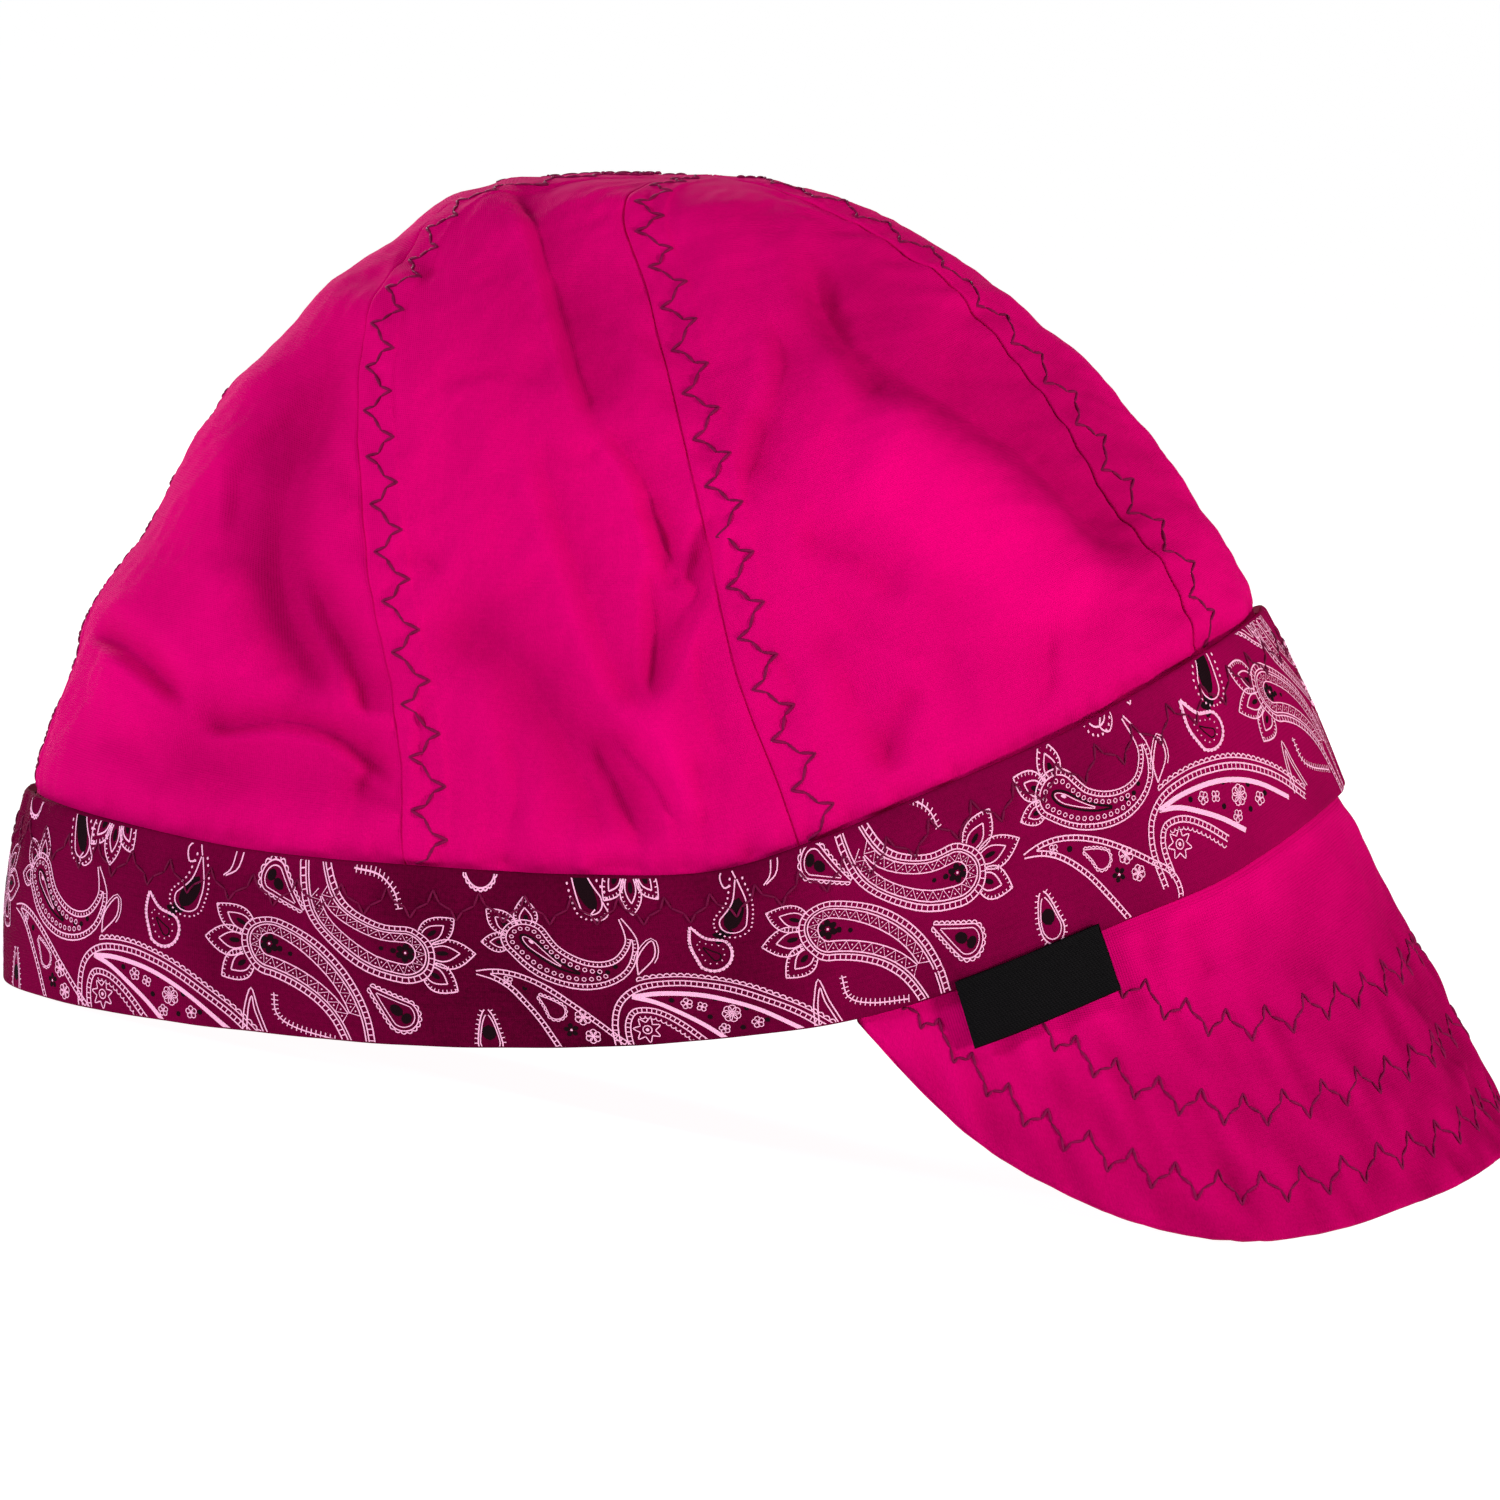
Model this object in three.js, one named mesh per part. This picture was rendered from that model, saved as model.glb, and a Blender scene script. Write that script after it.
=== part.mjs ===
// Welding cap, in mm, +Z up, front (peak) towards +X, wearer's left towards +Y.
// The cap is drawn level with its hem chord, then seated: tilted until the rear hem and the
// peak's two lower edges touch the floor, as the cap stands by itself.
import * as THREE from 'three';

const size = {
  half_length: 112, // hem, front to back, from its middle
  half_width: 67, // hem, side to side, from its middle
  crown_height: 145, // from the lowest hem at the side to the top, before seating
  oval_power: 2.35, // 2 is an ellipse, more is squarer: cloth sides stay flat
  band_width: 30.5,
  band_wall: 1.6,
  band_proud: 0.6, // band's face outside the crown's own surface
  panel_wall: 1.4,
  panel_lap: 8, // panel edge hidden behind the band
  seam_allowance: 7.5,
  allowance_lift: 0.5,
  peak_depth: 67.5,
  peak_wall: 2.4,
  peak_tuck: 5, // peak root hidden behind the band
  peak_half_root: 0.203, // share of the way round the hem
  label_wall: 1,
  label_height: 11.6,
  label_over_band: 1.5,
  top_offset: 8, // seams meet this far towards the wearer's left
  fold_depth: 4,
  gap: 0.3,
  rest_press: 0.4, // cloth lower than this lies flat on the floor
};

// Rings from the hem (-1) over the band's top edge (0) to the point where the seams meet (1).
// Reach is a share of half_length, rise and sag of crown_height, width of half_width.
const rings = [
  { level: -1, back_reach: 0.997, back_rise: 0.071, front_reach: 0.994, front_rise: 0.292, width: 1, sag: 0.157 },
  { level: -0.5, back_reach: 0.99, back_rise: 0.183, front_reach: 0.938, front_rise: 0.397, width: 1.02, sag: 0.171 },
  { level: 0, back_reach: 0.963, back_rise: 0.293, front_reach: 0.871, front_rise: 0.5, width: 1.03, sag: 0.184 },
  { level: 0.125, back_reach: 0.915, back_rise: 0.402, front_reach: 0.815, front_rise: 0.577, width: 1.03, sag: 0.175 },
  { level: 0.25, back_reach: 0.86, back_rise: 0.505, front_reach: 0.743, front_rise: 0.661, width: 1, sag: 0.162 },
  { level: 0.375, back_reach: 0.789, back_rise: 0.6, front_reach: 0.658, front_rise: 0.739, width: 0.95, sag: 0.143 },
  { level: 0.5, back_reach: 0.699, back_rise: 0.709, front_reach: 0.566, front_rise: 0.81, width: 0.87, sag: 0.117 },
  { level: 0.625, back_reach: 0.595, back_rise: 0.808, front_reach: 0.461, front_rise: 0.882, width: 0.76, sag: 0.085 },
  { level: 0.75, back_reach: 0.466, back_rise: 0.901, front_reach: 0.342, front_rise: 0.938, width: 0.6, sag: 0.048 },
  { level: 0.875, back_reach: 0.29, back_rise: 0.985, front_reach: 0.201, front_rise: 0.983, width: 0.36, sag: 0.011 },
  { level: 1, back_reach: -0.053, back_rise: 0.997, front_reach: 0.056, front_rise: 0.997, width: 0.003, sag: 0 },
];

// How the sag is spread from the back (-1) to the front (1), on the hem and on the band's top edge.
const sag_spread = [
  { ahead: -1, hem: 0, band_top: 0 },
  { ahead: -0.86, hem: 0.215, band_top: 0.2 },
  { ahead: -0.65, hem: 0.472, band_top: 0.47 },
  { ahead: -0.38, hem: 0.755, band_top: 0.71 },
  { ahead: -0.1, hem: 0.945, band_top: 0.92 },
  { ahead: 0.08, hem: 1, band_top: 1 },
  { ahead: 0.24, hem: 1, band_top: 0.91 },
  { ahead: 0.42, hem: 0.87, band_top: 0.735 },
  { ahead: 0.65, hem: 0.6, band_top: 0.5 },
  { ahead: 0.8, hem: 0.43, band_top: 0.3 },
  { ahead: 0.9, hem: 0.23, band_top: 0.15 },
  { ahead: 1, hem: 0, band_top: 0 },
];

// Seams, as shares of the way round from the front over the wearer's right, at each level.
const seams = [
  { level: -0.3, front_right: 0.064, right: 0.207, rear_right: 0.325, rear: 0.5, left: 0.69, front_left: 0.888 },
  { level: 0, front_right: 0.064, right: 0.207, rear_right: 0.326, rear: 0.5, left: 0.69, front_left: 0.888 },
  { level: 0.25, front_right: 0.056, right: 0.218, rear_right: 0.339, rear: 0.505, left: 0.69, front_left: 0.888 },
  { level: 0.5, front_right: 0.051, right: 0.223, rear_right: 0.373, rear: 0.52, left: 0.692, front_left: 0.885 },
  { level: 0.75, front_right: 0.05, right: 0.238, rear_right: 0.43, rear: 0.56, left: 0.7, front_left: 0.885 },
  { level: 0.85, front_right: 0.06, right: 0.262, rear_right: 0.46, rear: 0.585, left: 0.715, front_left: 0.89 },
  { level: 1, front_right: 0.1, right: 0.29, rear_right: 0.46, rear: 0.61, left: 0.745, front_left: 0.915 },
];

// Each panel runs from one seam to the next one round.
const panels = [
  { name: 'crown_panel_front', from: 'front_left', to: 'front_right', turn: 1 },
  { name: 'crown_panel_right', from: 'front_right', to: 'right', turn: 0 },
  { name: 'crown_panel_rear_right', from: 'right', to: 'rear_right', turn: 0 },
  { name: 'crown_panel_back_right', from: 'rear_right', to: 'rear', turn: 0 },
  { name: 'crown_panel_rear_left', from: 'rear', to: 'left', turn: 0 },
  { name: 'crown_panel_left', from: 'left', to: 'front_left', turn: 0 },
];

// Dents (lift below 0) and raised folds, each a line from a to b.
// Round is a share of the way round, reach a share of band_width, lift a share of fold_depth.
const folds = [
  { name: 'back crescent, top', a_round: 0.429, a_level: 0.57, b_round: 0.42, b_level: 0.43, reach: 0.26, lift: -0.8 },
  { name: 'back crescent, foot', a_round: 0.42, a_level: 0.43, b_round: 0.365, b_level: 0.25, reach: 0.26, lift: -0.8 },
  { name: 'back ridge', a_round: 0.4, a_level: 0.5, b_round: 0.37, b_level: 0.33, reach: 0.24, lift: 0.5 },
  { name: 'back short fold', a_round: 0.449, a_level: 0.215, b_round: 0.409, b_level: 0.17, reach: 0.2, lift: -0.6 },
  { name: 'back low fold', a_round: 0.399, a_level: 0.145, b_round: 0.345, b_level: 0.165, reach: 0.24, lift: -0.6 },
  { name: 'rear right, top', a_round: 0.354, a_level: 0.82, b_round: 0.288, b_level: 0.7, reach: 0.22, lift: -0.5 },
  { name: 'rear right, long', a_round: 0.294, a_level: 0.57, b_round: 0.262, b_level: 0.2, reach: 0.24, lift: -0.6 },
  { name: 'rear right, cross', a_round: 0.325, a_level: 0.41, b_round: 0.262, b_level: 0.2, reach: 0.22, lift: -0.6 },
  { name: 'rear right, v', a_round: 0.247, a_level: 0.49, b_round: 0.238, b_level: 0.36, reach: 0.2, lift: -0.6 },
  { name: 'rear right, swell', a_round: 0.29, a_level: 0.2, b_round: 0.285, b_level: 0.1, reach: 0.5, lift: 0.5 },
  { name: 'right hollow', a_round: 0.113, a_level: 0.77, b_round: 0.127, b_level: 0.52, reach: 0.42, lift: -0.9 },
  { name: 'right broad dent', a_round: 0.112, a_level: 0.5, b_round: 0.102, b_level: 0.28, reach: 0.6, lift: -0.5 },
  { name: 'right short fold', a_round: 0.184, a_level: 0.48, b_round: 0.158, b_level: 0.27, reach: 0.22, lift: -0.45 },
  { name: 'right foot fold', a_round: 0.187, a_level: 0.2, b_round: 0.177, b_level: 0.06, reach: 0.2, lift: -0.4 },
  { name: 'left hollow', a_round: 0.81, a_level: 0.66, b_round: 0.79, b_level: 0.4, reach: 0.55, lift: -0.7 },
  { name: 'left long fold', a_round: 0.75, a_level: 0.5, b_round: 0.72, b_level: 0.16, reach: 0.26, lift: -0.6 },
  { name: 'left foot fold', a_round: 0.84, a_level: 0.26, b_round: 0.82, b_level: 0.06, reach: 0.24, lift: -0.5 },
  { name: 'rear left fold', a_round: 0.63, a_level: 0.56, b_round: 0.58, b_level: 0.28, reach: 0.3, lift: -0.7 },
  { name: 'front fold', a_round: 0.98, a_level: 0.55, b_round: 0.95, b_level: 0.3, reach: 0.3, lift: -0.5 },
];

// Peak from its middle (0) to each end (1): depth is a share of peak_depth, fall and flare in degrees.
const peak_sections = [
  { along: 0, depth: 0.97, fall: 62, flare: 0 },
  { along: 0.2, depth: 0.965, fall: 63, flare: 2.3 },
  { along: 0.3, depth: 0.95, fall: 63.7, flare: 3.4 },
  { along: 0.4, depth: 0.915, fall: 64.9, flare: 4.3 },
  { along: 0.5, depth: 0.885, fall: 66.6, flare: 4.9 },
  { along: 0.6, depth: 0.835, fall: 68.3, flare: 5.4 },
  { along: 0.7, depth: 0.725, fall: 70, flare: 6 },
  { along: 0.8, depth: 0.56, fall: 71.3, flare: 5.7 },
  { along: 0.9, depth: 0.34, fall: 72.7, flare: 5.3 },
  { along: 1, depth: 0, fall: 74, flare: 5 },
];

const clamp = THREE.MathUtils.clamp;
const smooth = (x) => THREE.MathUtils.smoothstep(x, 0, 1);
const rad = THREE.MathUtils.degToRad;

// A table's column at x, on a smooth curve through its rows.
function read(rows, key, column, x) {
  let i = 0;
  while (i < rows.length - 2 && x > rows[i + 1][key]) i++;
  const slope = (k) => {
    const a = rows[Math.max(k - 1, 0)];
    const b = rows[Math.min(k + 1, rows.length - 1)];
    return (b[column] - a[column]) / (b[key] - a[key]);
  };
  const h = rows[i + 1][key] - rows[i][key];
  const t = (x - rows[i][key]) / h;
  return (2 * t ** 3 - 3 * t ** 2 + 1) * rows[i][column] + (t ** 3 - 2 * t ** 2 + t) * h * slope(i)
    + (3 * t ** 2 - 2 * t ** 3) * rows[i + 1][column] + (t ** 3 - t ** 2) * h * slope(i + 1);
}

// The oval all rings share: ahead and side, each -1 to 1, at even steps of length round the hem.
const oval = [];
{
  const power = (v) => Math.sign(v) * Math.abs(v) ** (2 / size.oval_power);
  let length = 0;
  for (let i = 0; i <= 2000; i++) {
    const turn = (i / 2000) * Math.PI * 2;
    const row = { ahead: power(Math.cos(turn)), side: power(Math.sin(turn)), round: 0 };
    if (i > 0) {
      const last = oval[i - 1];
      length += Math.hypot((row.ahead - last.ahead) * size.half_length, (row.side - last.side) * size.half_width);
    }
    row.round = length;
    oval.push(row);
  }
  for (const row of oval) row.round /= length;
}

function ovalAt(round) {
  const r = round - Math.floor(round);
  let low = 0;
  let high = oval.length - 1;
  while (high - low > 1) {
    const middle = (low + high) >> 1;
    if (oval[middle].round > r) high = middle;
    else low = middle;
  }
  const t = (r - oval[low].round) / (oval[high].round - oval[low].round || 1);
  return {
    ahead: THREE.MathUtils.lerp(oval[low].ahead, oval[high].ahead, t),
    side: THREE.MathUtils.lerp(oval[low].side, oval[high].side, t),
  };
}

// The cap's own smooth surface, before folds.
function capPoint(round, level) {
  const { ahead, side } = ovalAt(round);
  const ring = (column) => read(rings, 'level', column, level);
  const back = new THREE.Vector2(-ring('back_reach') * size.half_length, ring('back_rise') * size.crown_height);
  const front = new THREE.Vector2(ring('front_reach') * size.half_length, ring('front_rise') * size.crown_height);
  const hem_share = clamp(-level, 0, 1);
  const spread = hem_share * read(sag_spread, 'ahead', 'hem', ahead)
    + (1 - hem_share) * read(sag_spread, 'ahead', 'band_top', ahead);
  const chord = front.clone().sub(back).normalize();
  const point = back.clone().lerp(front, (1 + ahead) / 2);
  point.addScaledVector(new THREE.Vector2(chord.y, -chord.x), ring('sag') * size.crown_height * spread);
  const offset = size.top_offset * clamp((level - 0.7) / 0.3, 0, 1) ** 1.5;
  return new THREE.Vector3(point.x, offset - ring('width') * size.half_width * side, point.y);
}

// Unit normal of a surface(a, b), facing away from the head.
function outward(surface, a, b, step_a = 0.002, step_b = 0.01) {
  const along = surface(a + step_a, b).sub(surface(a - step_a, b));
  const up = surface(a, b + step_b).sub(surface(a, b - step_b));
  return up.cross(along).normalize();
}

function segmentDistance(point, a, b) {
  const line = b.clone().sub(a);
  const t = clamp(point.clone().sub(a).dot(line) / line.lengthSq(), 0, 1);
  return point.distanceTo(a.clone().addScaledVector(line, t));
}

const fold_lines = folds.map((fold) => ({
  a: capPoint(fold.a_round, fold.a_level),
  b: capPoint(fold.b_round, fold.b_level),
  reach: fold.reach * size.band_width,
  lift: fold.lift * size.fold_depth,
}));

function foldLift(point) {
  let lift = 0;
  for (const fold of fold_lines) lift += fold.lift * Math.exp(-((segmentDistance(point, fold.a, fold.b) / fold.reach) ** 2));
  return lift;
}

// Peak: along is -1 to 1 over the root (above 0 on the wearer's right), drop in mm below the hem.
function peakPoint(along, drop) {
  const round = along * size.peak_half_root;
  if (drop <= 0) return capPoint(round, -1 - drop / size.band_width);
  const share = Math.abs(along);
  const fall = rad(read(peak_sections, 'along', 'fall', share));
  const flare = rad(read(peak_sections, 'along', 'flare', share)) * Math.sign(along);
  const way = new THREE.Vector3(Math.cos(fall) * Math.cos(flare), -Math.sin(flare), -Math.sin(fall) * Math.cos(flare));
  return capPoint(round, -1).addScaledVector(way, drop);
}

// One closed solid from an outer and an inner grid, [row][column], rows going up.
function clothSolid(name, colour, outer, inner, closed_round) {
  const rows = outer.length;
  const columns = outer[0].length;
  const positions = [];
  for (const grid of [outer, inner]) for (const row of grid) for (const p of row) positions.push(p.x, p.y, p.z);
  const at = (side, i, j) => (side * rows + i) * columns + (j % columns);
  const index = [];
  const quad = (a, b, c, d) => index.push(a, b, c, a, c, d);
  const last = closed_round ? columns : columns - 1;
  for (let j = 0; j < last; j++) {
    for (let i = 0; i < rows - 1; i++) {
      quad(at(0, i, j + 1), at(0, i, j), at(0, i + 1, j), at(0, i + 1, j + 1));
      quad(at(1, i, j), at(1, i, j + 1), at(1, i + 1, j + 1), at(1, i + 1, j));
    }
    quad(at(0, 0, j), at(0, 0, j + 1), at(1, 0, j + 1), at(1, 0, j));
    quad(at(0, rows - 1, j + 1), at(0, rows - 1, j), at(1, rows - 1, j), at(1, rows - 1, j + 1));
  }
  if (!closed_round) {
    for (let i = 0; i < rows - 1; i++) {
      quad(at(0, i, 0), at(1, i, 0), at(1, i + 1, 0), at(0, i + 1, 0));
      quad(at(1, i, last), at(0, i, last), at(0, i + 1, last), at(1, i + 1, last));
    }
  }
  const geometry = new THREE.BufferGeometry();
  geometry.setAttribute('position', new THREE.Float32BufferAttribute(positions, 3));
  geometry.setIndex(index);
  geometry.computeVertexNormals();
  const mesh = new THREE.Mesh(geometry, new THREE.MeshStandardMaterial({ color: colour, roughness: 0.85 }));
  mesh.name = name;
  return mesh;
}

const cap = new THREE.Group();
cap.name = 'welding_cap';

// Crown panels: tucked behind the band below level 0, edges apart by the gap, one edge raised by
// the seam allowance pressed under it.
const tuck = size.band_wall - size.band_proud + size.gap + 0.05;
for (const panel of panels) {
  const levels = [-size.panel_lap / size.band_width, -0.13, 0, 0.03, 0.07];
  for (let i = 1; i <= 16; i++) levels.push(0.07 + (0.996 - 0.07) * (i / 16) ** 0.95);
  const outer = [];
  const inner = [];
  for (const level of levels) {
    const from = read(seams, 'level', panel.from, level) - panel.turn;
    const to = read(seams, 'level', panel.to, level);
    let width = 0;
    for (let k = 0; k < 12; k++) {
      width += capPoint(from + ((to - from) * k) / 12, level).distanceTo(capPoint(from + ((to - from) * (k + 1)) / 12, level));
    }
    const edge = size.gap / 2 / width;
    const strip = Math.min(size.seam_allowance / width, 0.3);
    const stops = [];
    for (let k = 0; k <= 10; k++) stops.push({ at: edge + ((1 - strip * 1.25 - edge) * k) / 10, raised: 0 });
    stops.push({ at: 1 - strip, raised: 1 }, { at: 1 - edge, raised: 1 });
    const behind = 1 - smooth((level - 0.005) / 0.065);
    outer.push([]);
    inner.push([]);
    for (const stop of stops) {
      const round = from + (to - from) * stop.at;
      const base = capPoint(round, level);
      const normal = outward(capPoint, round, Math.min(level, 0.97));
      const relief = foldLift(base) * smooth((level - 0.02) / 0.1) * (1 - smooth((level - 0.86) / 0.1));
      const raised = stop.raised * size.allowance_lift * (1 - behind) * (1 - smooth((level - 0.9) / 0.08));
      const out = relief - tuck * behind;
      outer[outer.length - 1].push(base.clone().addScaledVector(normal, out + raised));
      inner[inner.length - 1].push(base.clone().addScaledVector(normal, out - size.panel_wall));
    }
  }
  cap.add(clothSolid(panel.name, 0xe6047f, outer, inner, false));
}

// Band: one ring of print cloth over the panels' lower edges, its lower fold is the hem.
{
  const outer = [];
  const inner = [];
  for (const level of [-1, -0.75, -0.5, -0.25, 0]) {
    outer.push([]);
    inner.push([]);
    for (let k = 0; k < 96; k++) {
      const round = k / 96;
      const normal = outward(capPoint, round, clamp(level, -0.98, -0.02));
      const base = capPoint(round, level);
      outer[outer.length - 1].push(base.clone().addScaledVector(normal, size.band_proud));
      inner[inner.length - 1].push(base.clone().addScaledVector(normal, size.band_proud - size.band_wall));
    }
  }
  cap.add(clothSolid('hem_band', 0x7d0d3c, outer, inner, true));
}

// Peak: stiffened crescent, root tucked behind the band's lower edge.
{
  const outer = [];
  const inner = [];
  const face = -(size.band_wall - size.band_proud + size.gap + 0.05);
  for (let i = 0; i <= 10; i++) {
    outer.push([]);
    inner.push([]);
    for (let k = 0; k <= 40; k++) {
      const along = (k - 20) / 20;
      const depth = Math.max(read(peak_sections, 'along', 'depth', Math.abs(along)), 0) * size.peak_depth;
      const drop = i >= 9 ? -size.peak_tuck * (i - 9) - 0.2 : depth * (1 - i / 9) - 0.2;
      const base = peakPoint(along, drop);
      const normal = outward(peakPoint, along, drop, 0.02, -1);
      outer[outer.length - 1].push(base.clone().addScaledVector(normal, face));
      inner[inner.length - 1].push(base.clone().addScaledVector(normal, face - size.peak_wall));
    }
  }
  cap.add(clothSolid('peak', 0xd2067a, outer, inner, false));
}

// Label: woven tab sewn over the band's lower edge on the wearer's right, hanging over the peak.
{
  const left = { round: 0.1745, drop: -size.label_over_band };
  const right = { round: 0.1315, drop: -size.label_over_band };
  const outer = [];
  const inner = [];
  for (let i = 0; i <= 5; i++) {
    const drop = (size.label_height - size.label_over_band) - (size.label_height * i) / 5;
    const off = size.band_proud + size.gap - 1.5 * smooth(drop / size.label_height);
    outer.push([]);
    inner.push([]);
    for (let k = 0; k <= 8; k++) {
      const along = THREE.MathUtils.lerp(right.round, left.round, k / 8) / size.peak_half_root;
      const base = peakPoint(along, drop);
      const normal = outward(peakPoint, along, drop, 0.02, -1.5);
      outer[outer.length - 1].push(base.clone().addScaledVector(normal, off + size.label_wall));
      inner[inner.length - 1].push(base.clone().addScaledVector(normal, off));
    }
  }
  cap.add(clothSolid('side_label', 0x0a090b, outer, inner, false));
}

// Seat the cap: turn it about Y until the lowest hem at the back and the lowest peak edge are level.
{
  const lowest = (mesh, ahead) => {
    const p = mesh.geometry.getAttribute('position');
    let best = null;
    for (let i = 0; i < p.count; i++) {
      if (p.getX(i) > 0 === ahead && (best === null || p.getZ(i) < best.z)) best = new THREE.Vector3().fromBufferAttribute(p, i);
    }
    return best;
  };
  const band = cap.getObjectByName('hem_band');
  const peak = cap.getObjectByName('peak');
  for (let pass = 0; pass < 12; pass++) {
    const rear = lowest(band, false);
    const front = lowest(peak, true);
    const tilt = Math.atan2(front.z - rear.z, front.x - rear.x);
    for (const mesh of cap.children) mesh.geometry.rotateY(tilt);
  }
  const floor = lowest(band, false).z;
  const box = new THREE.Box3();
  for (const mesh of cap.children) {
    mesh.geometry.translate(0, 0, -floor);
    const p = mesh.geometry.getAttribute('position');
    for (let i = 0; i < p.count; i++) if (p.getZ(i) < size.rest_press) p.setZ(i, 0);
    mesh.geometry.computeBoundingBox();
    box.union(mesh.geometry.boundingBox);
  }
  const middle = box.getCenter(new THREE.Vector3());
  for (const mesh of cap.children) {
    mesh.geometry.translate(-middle.x, -middle.y, 0);
    mesh.geometry.computeVertexNormals();
  }
}

export default cap;
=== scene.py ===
# Welding cap of bright pink cotton: six-panel crown, print hem band, stiffened peak, blank side label.
# It stands by itself on its rear hem and on the two lower edges of its peak.
import math

import bmesh
import bpy
import numpy as np
from mathutils import Matrix, Vector


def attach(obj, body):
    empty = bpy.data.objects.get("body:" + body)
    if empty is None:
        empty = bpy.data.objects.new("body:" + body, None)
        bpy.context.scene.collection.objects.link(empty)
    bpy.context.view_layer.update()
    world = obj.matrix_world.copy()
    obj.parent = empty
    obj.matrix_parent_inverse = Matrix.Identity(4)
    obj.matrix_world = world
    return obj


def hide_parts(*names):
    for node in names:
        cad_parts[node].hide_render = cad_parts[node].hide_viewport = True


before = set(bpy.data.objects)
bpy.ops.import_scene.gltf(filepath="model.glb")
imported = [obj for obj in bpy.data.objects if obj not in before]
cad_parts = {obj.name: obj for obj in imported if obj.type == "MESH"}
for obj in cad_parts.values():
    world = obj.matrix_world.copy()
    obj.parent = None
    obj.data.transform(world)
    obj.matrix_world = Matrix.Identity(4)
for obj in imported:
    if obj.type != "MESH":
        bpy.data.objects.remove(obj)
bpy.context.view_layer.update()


# Camera and light. The camera looks almost level at the wearer's right side of the cap and is rolled,
# so that the hem sits as it does in the photograph. Soft lamps stand left, right, above and behind.
seat_tilt = -0.192267
seat_shift = (-13.1574, 0.2953, 11.3211)


def seated(points):
    """Millimetres in the cap's own level frame to metres where it stands."""
    c, s = math.cos(seat_tilt), math.sin(seat_tilt)
    x, y, z = points[..., 0], points[..., 1], points[..., 2]
    stood = (x * c + z * s + seat_shift[0], y + seat_shift[1], z * c - x * s + seat_shift[2])
    stood = np.stack(stood, -1)
    stood[..., 2] = np.maximum(stood[..., 2], 0)
    return stood / 1000


def put(name, data):
    """A new object in the scene."""
    thing = bpy.data.objects.new(name, data)
    bpy.context.collection.objects.link(thing)
    return thing


elevation = math.radians(3)
distance, picture_width = 3.0, 0.248
aim = Vector(seated(np.array([12.7, -30.0, 50.1])))
ahead = Vector((0, math.cos(elevation), -math.sin(elevation)))
level_right = Vector((1, 0, 0))
level_up = level_right.cross(ahead)
camera_right = level_right * math.cos(seat_tilt) - level_up * math.sin(seat_tilt)
camera_up = level_up * math.cos(seat_tilt) + level_right * math.sin(seat_tilt)
camera_data = bpy.data.cameras.new("camera")
camera_data.sensor_width = 36
camera_data.lens = camera_data.sensor_width * distance / picture_width
camera_data.clip_end = 200
camera = put("camera", camera_data)
turn = Matrix((camera_right, camera_up, -ahead)).transposed()
camera.matrix_world = Matrix.Translation(aim - ahead * distance) @ turn.to_4x4()
bpy.context.scene.camera = camera
bpy.context.scene.view_settings.view_transform = "Standard"

world = bpy.data.worlds.new("studio")
world.use_nodes = True
world.node_tree.nodes["Background"].inputs["Color"].default_value = (1, 0.97, 1, 1)
world.node_tree.nodes["Background"].inputs["Strength"].default_value = 0.12
bpy.context.scene.world = world


def soft_light(name, place, size, power, colour):
    data = bpy.data.lights.new(name, "AREA")
    data.shape = "DISK"
    data.size = size
    data.energy = power
    data.color = colour
    light = put(name, data)
    light.location = place
    light.rotation_euler = (aim - Vector(place)).to_track_quat("-Z", "Y").to_euler()


soft_light("key_light", (-2.15, -1.3, 0.45), 0.45, 35.5, (1, 0.98, 1.16))
soft_light("fill_light", (2.1, -1.15, 0.7), 0.45, 47, (1, 0.95, 0.95))
soft_light("top_light", (0.2, -0.9, 2.5), 0.7, 16, (1, 0.97, 1))
soft_light("back_light", (-0.8, 2.4, 0.9), 0.8, 46, (1, 0.98, 1))


# Floor: a wide sheet of plain white paper just under the cap, bright enough that only the cap's
# own soft shadow shows on it.


class Value:
    """A shader socket that takes part in sums: each operator adds its Math node."""

    def __init__(self, tree, socket):
        self.tree = tree
        self.socket = socket

    def node(self, kind, settings=None, inputs=None, out=0):
        made = self.tree.nodes.new(kind)
        for key, value in (settings or {}).items():
            setattr(made, key, value)
        self.fill(made, inputs or {})
        return Value(self.tree, made.outputs[out])

    def fill(self, node, inputs):
        """Set a node's inputs, each to a constant or from a Value."""
        for key, value in inputs.items():
            if isinstance(value, Value):
                self.tree.links.new(value.socket, node.inputs[key])
            else:
                node.inputs[key].default_value = value

    def surface(self, inputs):
        self.fill(self.tree.nodes["Principled BSDF"], inputs)

    def noise(self, vector, scale, detail=2.0):
        inputs = {"Vector": vector, "Scale": scale, "Detail": detail}
        return self.node("ShaderNodeTexNoise", inputs=inputs)

    def ramp(self, stops, mix):
        """A run of colour between two stops, each a place and a colour."""
        made = self.node("ShaderNodeValToRGB", inputs={0: mix})
        for element, (place, colour) in zip(made.socket.node.color_ramp.elements, stops):
            element.position = place
            element.color = (*colour, 1)
        return made

    def math(self, operation, other=None):
        inputs = {0: self} if other is None else {0: self, 1: other}
        return self.node("ShaderNodeMath", {"operation": operation}, inputs)

    def wave(self, length):
        return (self * (2 * math.pi / length)).math("SINE")

    def __add__(self, other):
        return self.math("ADD", other)

    __radd__ = __add__

    def __mul__(self, other):
        return self.math("MULTIPLY", other)

    __rmul__ = __mul__

    def __sub__(self, other):
        return self.math("SUBTRACT", other)

    def __rsub__(self, other):
        return (self * -1.0) + other


def new_material(name):
    """A material and a maker of nodes for it."""
    material = bpy.data.materials.new(name)
    material.use_nodes = True
    return material, Value(material.node_tree, None)


def mesh_from(bm, name):
    """The smooth-shaded mesh of a drawn shape."""
    for face in bm.faces:
        face.smooth = True
    mesh = bpy.data.meshes.new(name)
    bm.to_mesh(mesh)
    bm.free()
    return mesh


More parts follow.
